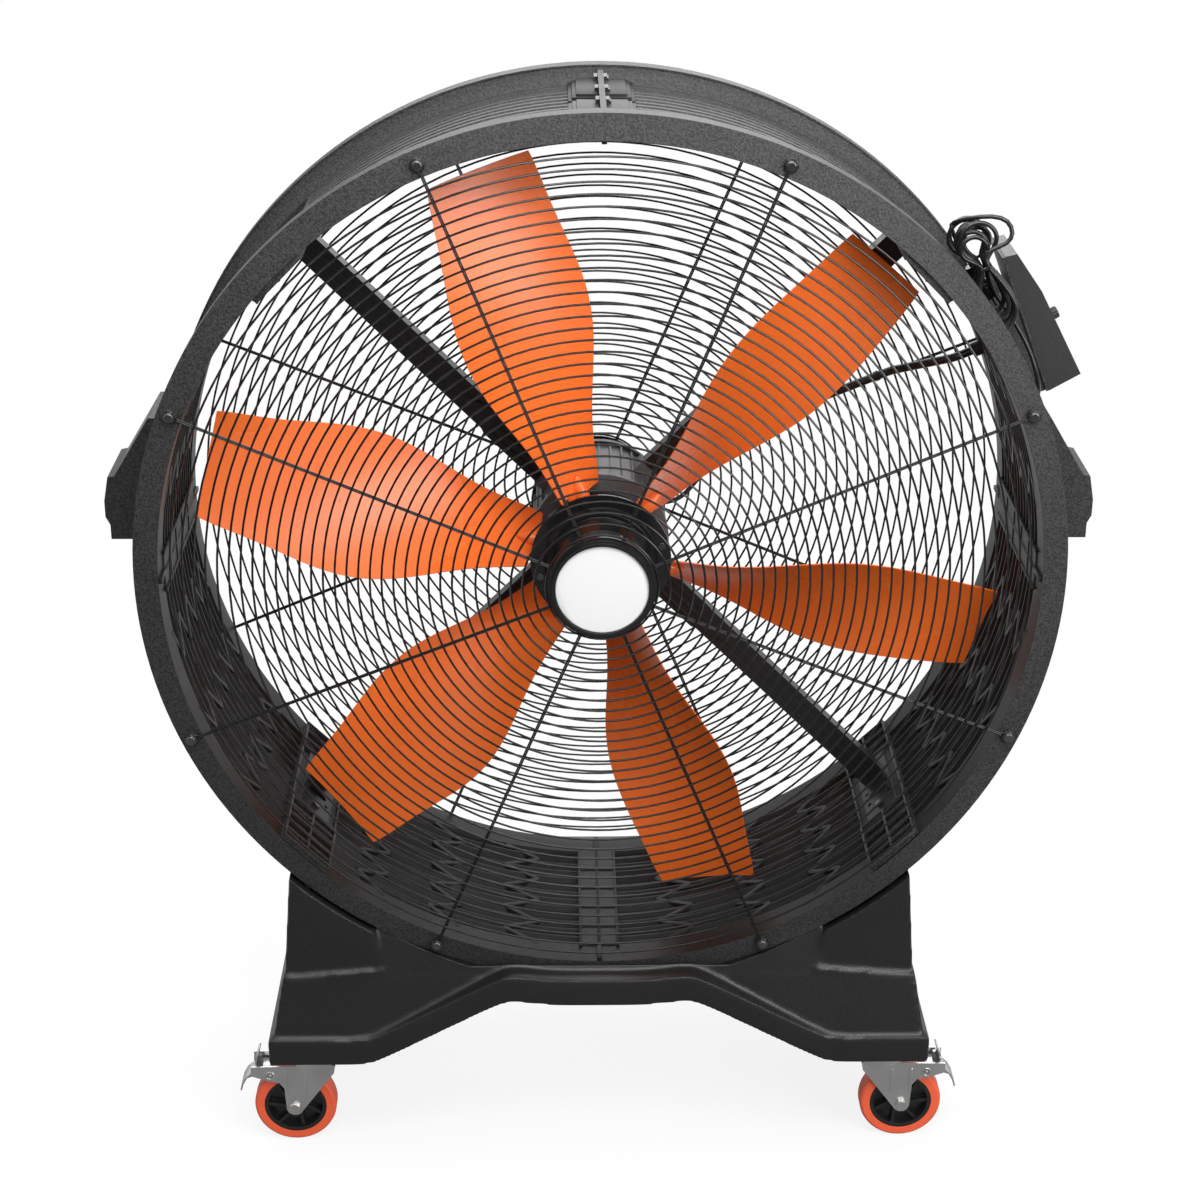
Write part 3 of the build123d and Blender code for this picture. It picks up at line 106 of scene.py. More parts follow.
def add_lamps():
    """A near lamp over the drum's front, one to the right of the camera, and wide weak ones around."""
    add_lamp("near_lamp", (0.35, -1.45, 2.75), drum_middle, 2.2, 0.8, 48)
    add_lamp("side_lamp", (2.3, -2.6, 1.9), stand_side, 1.6, 1.8, 66)
    add_lamp("top_lamp", (-0.2, 0.3, 3.5), fan_middle, 3.0, 1.8, 60)
    add_lamp("left_lamp", (-3.2, -1.6, 2.2), fan_middle, 1.2, 2.2, 10)
    add_lamp("front_lamp", (-0.4, -4.2, 2.6), fan_middle, 2.4, 1.6, 16)
    add_lamp("back_lamp", (0.2, 3.4, 2.6), fan_middle, 3.0, 1.8, 48)


def add_node(tree, kind, operation=None, **values):
    """A shader node with its operation and the values of its sockets; _1 is the socket of that number."""
    node = tree.nodes.new(kind)
    if operation:
        node.operation = operation
    for name, value in values.items():
        node.inputs[int(name[1:]) if name[0] == "_" else name].default_value = value
    return node


def link_all(tree, pairs):
    """Links pairs of sockets."""
    for start, end in pairs:
        tree.links.new(start, end)


def mix_node(tree, blend="MIX"):
    """A node that mixes two colours."""
    mix = tree.nodes.new("ShaderNodeMix")
    mix.data_type = "RGBA"
    mix.blend_type = blend
    return mix


def ramp(tree, value, limits, smooth=False):
    """A value carried from one range to another: limits are from, from, to, to."""
    level = add_node(tree, "ShaderNodeMapRange")
    if smooth:
        level.interpolation_type = "SMOOTHSTEP"
    for name, limit in zip(("From Min", "From Max", "To Min", "To Max"), limits):
        level.inputs[name].default_value = limit
    tree.links.new(value, level.inputs["Value"])
    return level.outputs["Result"]


def background_rays(tree, mirrored):
    """1 for the eye and for glass; mirrors see the white background by the share given."""
    path = add_node(tree, "ShaderNodeLightPath")
    glossy = add_node(tree, "ShaderNodeMath", "MULTIPLY")
    seen = add_node(tree, "ShaderNodeMath", "MAXIMUM")
    both = add_node(tree, "ShaderNodeMath", "MAXIMUM")
    link_all(tree, [(path.outputs["Is Glossy Ray"], glossy.inputs[0]), (mirrored, glossy.inputs[1]),
                    (path.outputs["Is Camera Ray"], seen.inputs[0]), (glossy.outputs[0], seen.inputs[1]),
                    (seen.outputs[0], both.inputs[0]),
                    (path.outputs["Is Transmission Ray"], both.inputs[1])])
    return both.outputs[0]


def light_world():
    """White all round as seen; the light it sheds comes mostly from above and behind."""
    world = bpy.data.worlds.new("studio")
    scene.world = world
    world.use_nodes = True
    tree = world.node_tree
    sky = tree.nodes["Background"]
    sky.inputs["Color"].default_value = world_colour
    way = add_node(tree, "ShaderNodeTexCoord")
    toward = add_node(tree, "ShaderNodeVectorMath", "DOT_PRODUCT", _1=world_light_way)
    tree.links.new(way.outputs["Generated"], toward.inputs[0])
    level = ramp(tree, toward.outputs["Value"], world_light_ramp)
    mirrored = ramp(tree, toward.outputs["Value"], world_mirror_ramp, smooth=True)
    plain = add_node(tree, "ShaderNodeBackground")
    mix = add_node(tree, "ShaderNodeMixShader")
    link_all(tree, [(level, sky.inputs["Strength"]),
                    (background_rays(tree, mirrored), mix.inputs[0]),
                    (sky.outputs[0], mix.inputs[1]), (plain.outputs[0], mix.inputs[2]),
                    (mix.outputs[0], tree.nodes["World Output"].inputs["Surface"])])


def floor_finish():
    """Pale floor that takes a soft shadow near the fan and fades into the white around it."""
    material = bpy.data.materials.new("floor_pale")
    material.use_nodes = True
    tree = material.node_tree
    shader = tree.nodes["Principled BSDF"]
    shader.inputs["Roughness"].default_value = 0.9
    shader.inputs["Specular IOR Level"].default_value = 0.0
    place = add_node(tree, "ShaderNodeTexCoord")
    reach = add_node(tree, "ShaderNodeVectorMath", "LENGTH")
    depth = add_node(tree, "ShaderNodeSeparateXYZ")
    link_all(tree, [(place.outputs["Object"], reach.inputs[0]), (place.outputs["Object"], depth.inputs[0])])
    fade = ramp(tree, reach.outputs["Value"], floor_fade_ramp, smooth=True)
    mirrored = ramp(tree, depth.outputs["Y"], floor_mirror_ramp, smooth=True)
    share = add_node(tree, "ShaderNodeMath", "MULTIPLY")
    path = add_node(tree, "ShaderNodeLightPath")
    tone = mix_node(tree)
    tone.inputs["A"].default_value = floor_bounce_colour
    tone.inputs["B"].default_value = floor_seen_colour
    white = add_node(tree, "ShaderNodeEmission")
    mix = add_node(tree, "ShaderNodeMixShader")
    link_all(tree, [(fade, share.inputs[0]), (background_rays(tree, mirrored), share.inputs[1]),
                    (path.outputs["Is Camera Ray"], tone.inputs["Factor"]),
                    (tone.outputs["Result"], shader.inputs["Base Color"]),
                    (share.outputs[0], mix.inputs[0]), (shader.outputs[0], mix.inputs[1]),
                    (white.outputs[0], mix.inputs[2]),
                    (mix.outputs[0], tree.nodes["Material Output"].inputs["Surface"])])
    return material


def lay_floor():
    """Wide flat floor under the fan."""
    mesh = bpy.data.meshes.new("floor")
    shape = bmesh.new()
    bmesh.ops.create_grid(shape, x_segments=floor_cells, y_segments=floor_cells, size=floor_half_width)
    shape.to_mesh(mesh)
    shape.free()
    mesh.materials.append(floor_finish())
    floor = bpy.data.objects.new("floor", mesh)
    scene.collection.objects.link(floor)


# ---------------------------------------------------------------- finishes

grain_relief = 0.0009
grain_shade_ramp = (0.36, 0.62, 0.45, 1.5)
# Painted shade on the drum's inner wall: its colour turns darker where the wall faces the axis.
inner_painted_shade_ramp = (-0.32, -0.12, 0.0, 1.0)
inner_painted_shade_colour = (0.005, 0.0047, 0.0048)

# Each finish: its colour and its faded colour, its range of roughness, its grain's scale and depth.
finish_looks = {
    "moulded_black": ((0.026, 0.0245, 0.025), (0.040, 0.038, 0.0385), (0.42, 0.54), (340, 0.8)),
    "drum_black": ((0.028, 0.0265, 0.027), (0.042, 0.040, 0.0405), (0.42, 0.54), (340, 0.8)),
    "stand_black": ((0.008, 0.0076, 0.0078), (0.013, 0.0122, 0.0125), (0.33, 0.43), (420, 0.4)),
    # A darker copy of the drum's black for the parts on its inner wall and in the seam pockets: painted
    # shade.
    "wall_black_painted_shade": ((0.011, 0.0105, 0.0105), (0.016, 0.0155, 0.0155), (0.42, 0.55), (340, 0.6)),
    "box_black": ((0.020, 0.0195, 0.020), (0.030, 0.029, 0.030), (0.36, 0.46), (700, 0.35)),
    "wire_black": ((0.007, 0.0065, 0.0065), (0.010, 0.0095, 0.0095), (0.14, 0.22), (300, 0.05)),
    "blade_orange": ((0.94, 0.150, 0.019), (0.98, 0.195, 0.030), (0.22, 0.32), (60, 0.06)),
    "badge_white": ((0.76, 0.76, 0.755), (0.80, 0.80, 0.795), (0.25, 0.35), (200, 0.05)),
    "hub_black": ((0.008, 0.008, 0.009), (0.014, 0.014, 0.015), (0.12, 0.2), (200, 0.08)),
    "bolt_black": ((0.10, 0.10, 0.10), (0.16, 0.16, 0.16), (0.12, 0.22), (900, 0.1)),
    "steel": ((0.55, 0.55, 0.56), (0.62, 0.62, 0.63), (0.25, 0.4), (900, 0.15)),
    "zinc": ((0.56, 0.55, 0.54), (0.72, 0.715, 0.71), (0.2, 0.4), (240, 0.3)),
    "core": ((0.25, 0.14, 0.08), (0.35, 0.2, 0.1), (0.4, 0.6), (400, 0.4)),
    "motor_grey": ((0.085, 0.085, 0.09), (0.12, 0.12, 0.125), (0.4, 0.55), (700, 0.4)),
    "motor_black": ((0.014, 0.014, 0.015), (0.022, 0.022, 0.024), (0.35, 0.5), (700, 0.4)),
    "arm_black": ((0.010, 0.010, 0.011), (0.016, 0.016, 0.017), (0.3, 0.42), (600, 0.2)),
    "cord_black": ((0.009, 0.0085, 0.009), (0.015, 0.014, 0.015), (0.18, 0.3), (500, 0.08)),
    "board": ((0.02, 0.15, 0.05), (0.03, 0.2, 0.07), (0.3, 0.4), (300, 0.1)),
    "wheel_black": ((0.009, 0.009, 0.009), (0.014, 0.014, 0.014), (0.22, 0.34), (600, 0.2)),
    "tread_orange": ((0.90, 0.115, 0.045), (0.95, 0.15, 0.06), (0.3, 0.45), (300, 0.15)),
    "pedal_zinc": ((0.50, 0.50, 0.51), (0.64, 0.64, 0.65), (0.22, 0.38), (260, 0.2)),
    "pedal_black": ((0.015, 0.015, 0.015), (0.025, 0.025, 0.025), (0.3, 0.45), (600, 0.2)),
}

# What a finish has of its own beside that; names with capitals are the shader's sockets.
finish_extras = {
    "moulded_black": {"edge_radius": 0.0016, "grain_shade": 0.8, "Specular_IOR_Level": 0.35},
    "drum_black": {"edge_radius": 0.0016, "grain_shade": 0.8, "Specular_IOR_Level": 0.25},
    "stand_black": {"edge_radius": 0.0016, "grain_shade": 0.4, "Specular_IOR_Level": 0.5},
    "wall_black_painted_shade": {"edge_radius": 0.0007, "Specular_IOR_Level": 0.2},
    "box_black": {"edge_radius": 0.0014, "Specular_IOR_Level": 0.42},
    "wire_black": {"Specular_IOR_Level": 0.5},
    "blade_orange": {"edge_radius": 0.0012, "blotch_scale": 3.0},
    "hub_black": {"edge_radius": 0.0014},
    "bolt_black": {"Metallic": 0.9},
    "steel": {"Metallic": 1.0},
    "zinc": {"blotch_scale": 26.0, "Metallic": 1.0},
    "arm_black": {"Specular_IOR_Level": 0.4},
    "tread_orange": {"blotch_scale": 20.0},
    "pedal_zinc": {"blotch_scale": 30.0, "Metallic": 1.0},
}

# The nodes of each finish, by what their names start with; all others are moulded black.
finish_nodes = {
    "drum_black": ("drum_quadrant",),
    "wire_black": ("front_guard", "back_guard", "guard_plates"),
    "blade_orange": ("blade_",),
    "badge_white": ("badge",),
    "hub_black": ("hub_body", "hub_plate", "hub_cover"),
    "bolt_black": ("frame_bolts", "guard_screws", "hub_screws"),
    "steel": ("motor_shaft", "motor_bearings"),
    "core": ("motor_stator",),
    "motor_grey": ("motor_housing", "motor_front_shield"),
    "motor_black": ("motor_rear_shield", "terminal_box"),
    "arm_black": ("motor_arms", "arm_feet"),
    "box_black": ("control_box", "speed_knob"),
    "board": ("speed_controller",),
    "cord_black": ("motor_lead", "lead_conduit", "mains_cord", "plug_cord", "cord_hank", "mains_plug",
                   "cord_tie"),
    "zinc": ("castor_plates", "castor_fork"),
    "wheel_black": ("wheel_rim",),
    "tread_orange": ("wheel_tread",),
    "pedal_black": ("brake_pedal",),
}


def socket(group, name, way, kind, value=None):
    """A named socket of a shader group."""
    made = group.interface.new_socket(name=name, in_out=way, socket_type=kind)
    if value is not None:
        made.default_value = value


def finish_group():
    """Shader group: colour that drifts a little, roughness that varies, a fine grain and soft edges."""
    group = bpy.data.node_groups.new("moulded_finish", "ShaderNodeTree")
    socket(group, "Colour", "INPUT", "NodeSocketColor", (0.02, 0.02, 0.02, 1))
    socket(group, "Faded Colour", "INPUT", "NodeSocketColor", (0.04, 0.04, 0.04, 1))
    socket(group, "Blotch Scale", "INPUT", "NodeSocketFloat", 6.0)
    socket(group, "Grain Scale", "INPUT", "NodeSocketFloat", 400.0)
    socket(group, "Grain Depth", "INPUT", "NodeSocketFloat", 0.3)
    socket(group, "Grain Shade", "INPUT", "NodeSocketFloat", 0.0)
    socket(group, "Edge Radius", "INPUT", "NodeSocketFloat", 0.001)
    socket(group, "Low Roughness", "INPUT", "NodeSocketFloat", 0.4)
    socket(group, "High Roughness", "INPUT", "NodeSocketFloat", 0.6)
    socket(group, "Colour", "OUTPUT", "NodeSocketColor")
    socket(group, "Roughness", "OUTPUT", "NodeSocketFloat")
    socket(group, "Normal", "OUTPUT", "NodeSocketVector")
    enter = group.nodes.new("NodeGroupInput")
    leave = group.nodes.new("NodeGroupOutput")
    place = group.nodes.new("ShaderNodeTexCoord")
    blotch = add_node(group, "ShaderNodeTexNoise", Detail=4)
    grain = add_node(group, "ShaderNodeTexNoise", Detail=2)
    colour = mix_node(group)
    shaded = mix_node(group, "MULTIPLY")
    rough = group.nodes.new("ShaderNodeMapRange")
    bump = add_node(group, "ShaderNodeBump", Distance=grain_relief)
    edges = group.nodes.new("ShaderNodeBevel")
    edges.samples = 4
    pits = ramp(group, grain.outputs["Fac"], grain_shade_ramp)
    link_all(group, [
        (place.outputs["Object"], blotch.inputs["Vector"]),
        (place.outputs["Object"], grain.inputs["Vector"]),
        (enter.outputs["Blotch Scale"], blotch.inputs["Scale"]),
        (enter.outputs["Grain Scale"], grain.inputs["Scale"]),
        (blotch.outputs["Fac"], colour.inputs["Factor"]), (enter.outputs["Colour"], colour.inputs["A"]),
        (enter.outputs["Faded Colour"], colour.inputs["B"]),
        (enter.outputs["Grain Shade"], shaded.inputs["Factor"]),
        (colour.outputs["Result"], shaded.inputs["A"]), (pits, shaded.inputs["B"]),
        (shaded.outputs["Result"], leave.inputs["Colour"]),
        (blotch.outputs["Fac"], rough.inputs["Value"]),
        (enter.outputs["Low Roughness"], rough.inputs["To Min"]),
        (enter.outputs["High Roughness"], rough.inputs["To Max"]),
        (rough.outputs["Result"], leave.inputs["Roughness"]),
        (enter.outputs["Edge Radius"], edges.inputs["Radius"]),
        (edges.outputs["Normal"], bump.inputs["Normal"]), (grain.outputs["Fac"], bump.inputs["Height"]),
        (enter.outputs["Grain Depth"], bump.inputs["Strength"]),
        (bump.outputs["Normal"], leave.inputs["Normal"])])
    return group


def make_finish(name, colour, faded, rough, grain, blotch_scale=6.0, edge_radius=0.0008, grain_shade=0.0,
                **constants):
    """A material: two close colours, a range of roughness, a grain of (scale, depth) and softened edges."""
    material = bpy.data.materials.new(name)
    material.use_nodes = True
    tree = material.node_tree
    shader = tree.nodes["Principled BSDF"]
    group = tree.nodes.new("ShaderNodeGroup")
    group.node_tree = moulded_finish
    values = {"Colour": (*colour, 1), "Faded Colour": (*faded, 1), "Blotch Scale": blotch_scale,
              "Grain Scale": grain[0], "Grain Depth": grain[1], "Grain Shade": grain_shade,
              "Edge Radius": edge_radius, "Low Roughness": rough[0], "High Roughness": rough[1]}
    for input_name, value in values.items():
        group.inputs[input_name].default_value = value
    link_all(tree, [(group.outputs["Colour"], shader.inputs["Base Color"]),
                    (group.outputs["Roughness"], shader.inputs["Roughness"]),
                    (group.outputs["Normal"], shader.inputs["Normal"])])
    for socket_name, value in constants.items():
        shader.inputs[socket_name.replace("_", " ")].default_value = value
    return material


def inner_shade_mask_group():
    """Shader group: 1 on what faces away from the drum's axis, 0 on the inner side, where shade is painted.
    """
    group = bpy.data.node_groups.new("inner_shade_mask", "ShaderNodeTree")
    socket(group, "Outer", "OUTPUT", "NodeSocketFloat")
    leave = group.nodes.new("NodeGroupOutput")
    place = group.nodes.new("ShaderNodeTexCoord")
    facing = group.nodes.new("ShaderNodeNewGeometry")
    from_axis = add_node(group, "ShaderNodeVectorMath", "SUBTRACT", _1=(0.0, 0.0, axis_height))
    flat = add_node(group, "ShaderNodeVectorMath", "MULTIPLY", _1=(1.0, 0.0, 1.0))
    outward = add_node(group, "ShaderNodeVectorMath", "NORMALIZE")
    along = add_node(group, "ShaderNodeVectorMath", "DOT_PRODUCT")
    link_all(group, [(place.outputs["Object"], from_axis.inputs[0]), (from_axis.outputs[0], flat.inputs[0]),
                     (flat.outputs[0], outward.inputs[0]), (outward.outputs[0], along.inputs[0]),
                     (facing.outputs["True Normal"], along.inputs[1])])
    outer = ramp(group, along.outputs["Value"], inner_painted_shade_ramp)
    group.links.new(outer, leave.inputs["Outer"])
    return group


def paint_inner_shade(material):
    """Paints shade into a finish's colour: darker where the drum's wall faces the axis."""
    tree = material.node_tree
    shader = tree.nodes["Principled BSDF"]
    side = tree.nodes.new("ShaderNodeGroup")
    side.node_tree = inner_shade_mask_group()
    mix = mix_node(tree)
    mix.inputs["A"].default_value = (*inner_painted_shade_colour, 1)
    outer = shader.inputs["Base Color"].links[0].from_socket
    link_all(tree, [(side.outputs["Outer"], mix.inputs["Factor"]), (outer, mix.inputs["B"]),
                    (mix.outputs["Result"], shader.inputs["Base Color"])])


def make_finishes():
    """Every finish by name; the drum's gets painted shade on its inner side."""
    made = {}
    for name, looks in finish_looks.items():
        made[name] = make_finish(name, *looks, **finish_extras.get(name, {}))
    paint_inner_shade(made["drum_black"])
    return made


def finish_of(node):
    """The finish of a node, by what its name starts with."""
    for finish, starts in finish_nodes.items():
        if node.startswith(starts):
            return finish
    return "moulded_black"


def dress_nodes():
    """Gives every node its finish and smooth shading."""
    for name, piece in nodes.items():
        piece.data.materials.clear()
        piece.data.materials.append(finishes[finish_of(name)])
        shade(piece)


# ---------------------------------------------------------------- mains cord

cord_diameter = 0.0064
hank_place = (0.516, 0.429)
hank_front = -0.122
hank_turns = 8
hank_pitch = 0.0071
hank_lean = radians(24)
hank_waist = 0.0046
hank_fan = 0.0013
waist_radius = 0.010
lobe_steps = 8
lower_lobe = (0.025, 0.050)
upper_lobe = (0.021, 0.018)
lobe_leans = (0.17, -0.15, 0.13, 0.04, -0.16, 0.15, -0.06, 0.10)
lobe_swells = (1.20, 0.86, 1.14, 0.96, 1.18, 0.84, 1.08, 0.92)
both_swells = 2.04
gland_x, gland_z = 0.6171, 0.2207
gland_mouth = -0.0163
plug_lean = radians(-35)


def from_shaft(x, y, z):
    """A point given from the middle of the shaft."""
    return Vector((x, y, axis_height + z))


def hank_point(across, up, y):
    """A point of the hank from its waist, above the floor."""
    return from_shaft(hank_place[0] + across * cos(hank_lean) - up * sin(hank_lean), y,
                      hank_place[1] + across * sin(hank_lean) + up * cos(hank_lean))


def half_turn(lobe, side, level, end_level, lean, fan):
    """Control points from the hank's waist round one lobe and back; side is 1 for the upper lobe."""
    radius, run = lobe
    reach = hank_waist + waist_radius
    middle = sqrt(run ** 2 + (waist_radius + radius) ** 2 - reach ** 2)
    spread = asin((waist_radius + radius) / hypot(reach, middle)) - atan2(reach, middle)
    corner = waist_radius * tan(spread / 2)
    bend = (reach - waist_radius * cos(spread), waist_radius * sin(spread))
    half_run = (bend[0] + run * sin(spread) / 2, bend[1] + run * cos(spread) / 2)
    points = [(hank_waist, 0, level), (hank_waist, corner, level), (*half_run, (level + end_level) / 2)]
    step = (pi + 2 * spread) / lobe_steps
    outer = radius / cos(step / 2)
    for index in range(lobe_steps):
        angle = -spread + (index + 0.5) * step
        points.append((outer * cos(angle), middle + outer * sin(angle), end_level + fan))
    points += [(-half_run[0], half_run[1], end_level), (-hank_waist, corner, end_level)]
    placed = []
    for across, up, y in points:
        turn = lean * min(1.0, up / middle)
        across, up = across * cos(turn) + up * sin(turn), up * cos(turn) - across * sin(turn)
        placed.append(hank_point(-side * across, side * up, y))
    return placed


def hank_points():
    """Control points of the hank from its front end to its back end; the turns fan out round the tie."""
    points = []
    for index, (lean, swell) in enumerate(zip(lobe_leans, lobe_swells)):
        level = hank_front + index * hank_pitch
        half = level + hank_pitch / 2
        fan = (index - (hank_turns - 1) / 2) * hank_fan
        lower = (lower_lobe[0] * swell, lower_lobe[1])
        upper = (upper_lobe[0] * (both_swells - swell), upper_lobe[1])
        points += half_turn(lower, -1, level, half, -abs(lean), fan)
        points += half_turn(upper, 1, half, level + hank_pitch, lean, fan)
    points.append(hank_point(hank_waist, 0, hank_front + hank_turns * hank_pitch))
    return points


def cord_curve(name, points, diameter):
    """A round cord on a smooth line through the neighbourhood of its points."""
    data = bpy.data.curves.new(name, "CURVE")
    data.dimensions = "3D"
    data.bevel_depth = diameter / 2
    data.bevel_resolution = 4
    data.resolution_u = 4
    data.use_fill_caps = True
    line = data.splines.new("NURBS")
    line.points.add(len(points) - 1)
    for point, place in zip(line.points, points):
        point.co = (*place, 1)
    line.order_u = 3
    line.use_endpoint_u = True
    piece = bpy.data.objects.new(name, data)
    scene.collection.objects.link(piece)
    return piece


def lay_mains_cord():
    """Mains cord from its gland through the hank to the plug."""
    mouth = from_shaft(gland_x, gland_mouth, gland_z)
    front_end = hank_point(hank_waist, 0, hank_front)
    back_end = hank_point(hank_waist, 0, hank_front + hank_turns * hank_pitch)
    way = (hank_point(hank_waist, -1, 0) - hank_point(hank_waist, 0, 0)).normalized()
    to_box = [from_shaft(gland_x, -0.0503, gland_z), from_shaft(0.612, -0.070, 0.250),
              from_shaft(0.600, -0.066, 0.290), from_shaft(0.578, -0.060, 0.330),
              from_shaft(0.536, -0.0604, 0.386), back_end + way * 0.020]
    plug_way = Vector((sin(plug_lean), 0, cos(plug_lean)))
    plug_top = from_shaft(0.527, -0.036, 0.389) + plug_way * 0.026
    to_plug = [front_end - way * 0.022, from_shaft(0.554, -0.124, 0.468), from_shaft(0.540, -0.116, 0.502),
               from_shaft(0.474, -0.098, 0.490), plug_top + plug_way * 0.060, plug_top]
    points = [mouth] + to_box + list(reversed(hank_points())) + to_plug
    cord = cord_curve("mains_cord_line", points, cord_diameter)
    cord.data.materials.append(finishes["cord_black"])
    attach(cord, "frame")
    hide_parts("mains_cord", "cord_hank", "plug_cord")


# ---------------------------------------------------------------- shapes in mesh code

bevel_limit = radians(35)
smooth_limit = radians(32)
seam_width = 0.00002


def drum_place(angle):
    """Turns what is drawn over the top of the shaft to its place round the drum."""
    return Matrix.Translation((0, 0, axis_height)) @ Matrix.Rotation(radians(angle), 4, "Y")


def side_range(side, near, far):
    """Two limits on one side of the middle, the lower one first; side is -1 or 1."""
    return sorted((side * near, side * far))


def add_block(shape, x, y, z, place):
    """A box between two limits on each axis."""
    made = bmesh.ops.create_cube(shape, size=1)["verts"]
    size = [high - low for low, high in (x, y, z)]
    middle = [(low + high) / 2 for low, high in (x, y, z)]
    bmesh.ops.scale(shape, vec=size, verts=made)
    bmesh.ops.translate(shape, vec=middle, verts=made)
    bmesh.ops.transform(shape, matrix=place, verts=made)


def add_prism(shape, outline, low, high, place):
    """An outline of (x, z) points between two depths."""
    front = [shape.verts.new((x, low, z)) for x, z in outline]
    back = [shape.verts.new((x, high, z)) for x, z in outline]
    shape.faces.new(front)
    shape.faces.new(list(reversed(back)))
    count = len(outline)
    for index in range(count):
        after = (index + 1) % count
        shape.faces.new((front[after], front[index], back[index], back[after]))
    bmesh.ops.transform(shape, matrix=place, verts=front + back)


def add_turned(shape, profile, steps, place):
    """A closed outline of (radius, y) points turned about Y."""
    rings = []
    for step in range(steps):
        angle = 2 * pi * step / steps
        rings.append([shape.verts.new((r * sin(angle), y, r * cos(angle))) for r, y in profile])
    count = len(profile)
    for step in range(steps):
        ring = rings[step]
        after = rings[(step + 1) % steps]
        for index in range(count):
            next_index = (index + 1) % count
            shape.faces.new((ring[index], ring[next_index], after[next_index], after[index]))
    bmesh.ops.transform(shape, matrix=place, verts=[vert for ring in rings for vert in ring])


def make_piece(name, shape, finish, body="frame", bevel=0.0):
    """An object from mesh code with its finish, its rounded edges and the body it rides on."""
    bmesh.ops.remove_doubles(shape, verts=shape.verts, dist=1e-6)
    piece = bare_object(name, shape)
    piece.data.materials.append(finishes[finish])
    if bevel:
        add_bevel(piece, bevel)
    shade(piece)
    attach(piece, body)
    return piece


def bare_object(name, shape):
    """An object straight from mesh code."""
    bmesh.ops.recalc_face_normals(shape, faces=shape.faces)
    mesh = bpy.data.meshes.new(name)
    shape.to_mesh(mesh)
    shape.free()
    made = bpy.data.objects.new(name, mesh)
    scene.collection.objects.link(made)
    return made


def add_bevel(piece, width):
    """Rounds the sharp edges of a piece."""
    bevel = piece.modifiers.new("rounded_edges", "BEVEL")
    bevel.width = width
    bevel.segments = 2
    bevel.limit_method = "ANGLE"
    bevel.angle_limit = bevel_limit


def shading_group():
    """Geometry nodes: joins the seams between faces and shades all but the sharp edges smooth."""
    tree = bpy.data.node_groups.new("smooth_shading", "GeometryNodeTree")
    socket(tree, "Geometry", "INPUT", "NodeSocketGeometry")
    socket(tree, "Geometry", "OUTPUT", "NodeSocketGeometry")
    enter = tree.nodes.new("NodeGroupInput")
    leave = tree.nodes.new("NodeGroupOutput")
    merge = add_node(tree, "GeometryNodeMergeByDistance", Distance=seam_width)
    faces = tree.nodes.new("GeometryNodeSetShadeSmooth")
    faces.domain = "FACE"
    angle = tree.nodes.new("GeometryNodeInputMeshEdgeAngle")
    sharp = add_node(tree, "FunctionNodeCompare", "GREATER_THAN", B=smooth_limit)
    edges = tree.nodes.new("GeometryNodeSetShadeSmooth")
    edges.domain = "EDGE"
    edges.inputs["Shade Smooth"].default_value = False
    link_all(tree, [(enter.outputs[0], merge.inputs["Geometry"]),
                    (merge.outputs[0], faces.inputs["Geometry"]),
                    (angle.outputs["Unsigned Angle"], sharp.inputs["A"]),
                    (faces.outputs[0], edges.inputs["Geometry"]),
                    (sharp.outputs[0], edges.inputs["Selection"]), (edges.outputs[0], leave.inputs[0])])
    return tree


def shade(piece):
    """Smooth shading between flat faces that meet at a slight angle."""
    piece.modifiers.new("smooth_shading", "NODES").node_group = smooth_shading


# ---------------------------------------------------------------- stand

stand_half_depth = 0.222
stand_half_width = 0.497
stand_foot = 0.165 - axis_height
stand_band = 0.044
stand_ledge = 0.008
cheek_ledge = 0.0085
cheek_half_depth = 0.1865
cheek_half_width = 0.472
cheek_top_half_width = 0.457
cheek_inner = 0.323
cheek_top_inner = 0.334
cheek_foot = -0.636
cheek_top_radius = 0.6566
cheek_top_steps = 14
skirt_top = -0.552
skirt_slope = 0.26
pocket_radius = 0.6506
pocket_half_depth = 0.1904
pocket_turn_steps = 360
arch_dip = -0.675
arch_rise = 0.011
arch_half_width = 0.135
arch_slope_width = 0.215
arch_rounding = 0.045
foot_slope_width = 0.028
cut_half_width = 0.6
cut_half_depth = 0.3
cut_foot = -1.2
skin_voxel = 0.0038
skin_smoothing = 5


def arch_line():
    """Lower edge of the stand from left to right, as (x, z) from the shaft."""
    peak = arch_dip + arch_rise
    end = arch_half_width + arch_slope_width
    right = [(arch_half_width * 0.5, arch_dip + 0.003), (arch_half_width - 0.012, peak - 0.001),
             (arch_half_width + 0.012, peak - 0.003), (end - foot_slope_width, stand_foot + 0.012),
             (end, stand_foot), (stand_half_width, stand_foot)]
    return [(-x, z) for x, z in reversed(right)] + right


def add_frustum(shape, low, high, low_size, high_size, place):
    """A block that narrows upwards; sizes are half widths and half depths."""
    corners = []
    for z, (half_x, half_y) in ((low, low_size), (high, high_size)):
        corners.append([shape.verts.new((x, y, z)) for x, y in
                        ((-half_x, -half_y), (half_x, -half_y), (half_x, half_y), (-half_x, half_y))])
    bottom, top = corners
    shape.faces.new(list(reversed(bottom)))
    shape.faces.new(top)
    for index in range(4):
        after = (index + 1) % 4
        shape.faces.new((bottom[index], bottom[after], top[after], top[index]))
    bmesh.ops.transform(shape, matrix=place, verts=bottom + top)


def finished_mesh(made, name):
    """The mesh of an object with its modifiers applied; the object itself is removed."""
    depsgraph = bpy.context.evaluated_depsgraph_get()
    mesh = bpy.data.meshes.new_from_object(made.evaluated_get(depsgraph))
    mesh.name = name
    bpy.data.objects.remove(made)
    return mesh


def cut_by(made, cutter):
    """Takes one object's space out of another."""
    cut = made.modifiers.new("cut", "BOOLEAN")
    cut.operation = "DIFFERENCE"
    cut.solver = "EXACT"
    cut.object = cutter


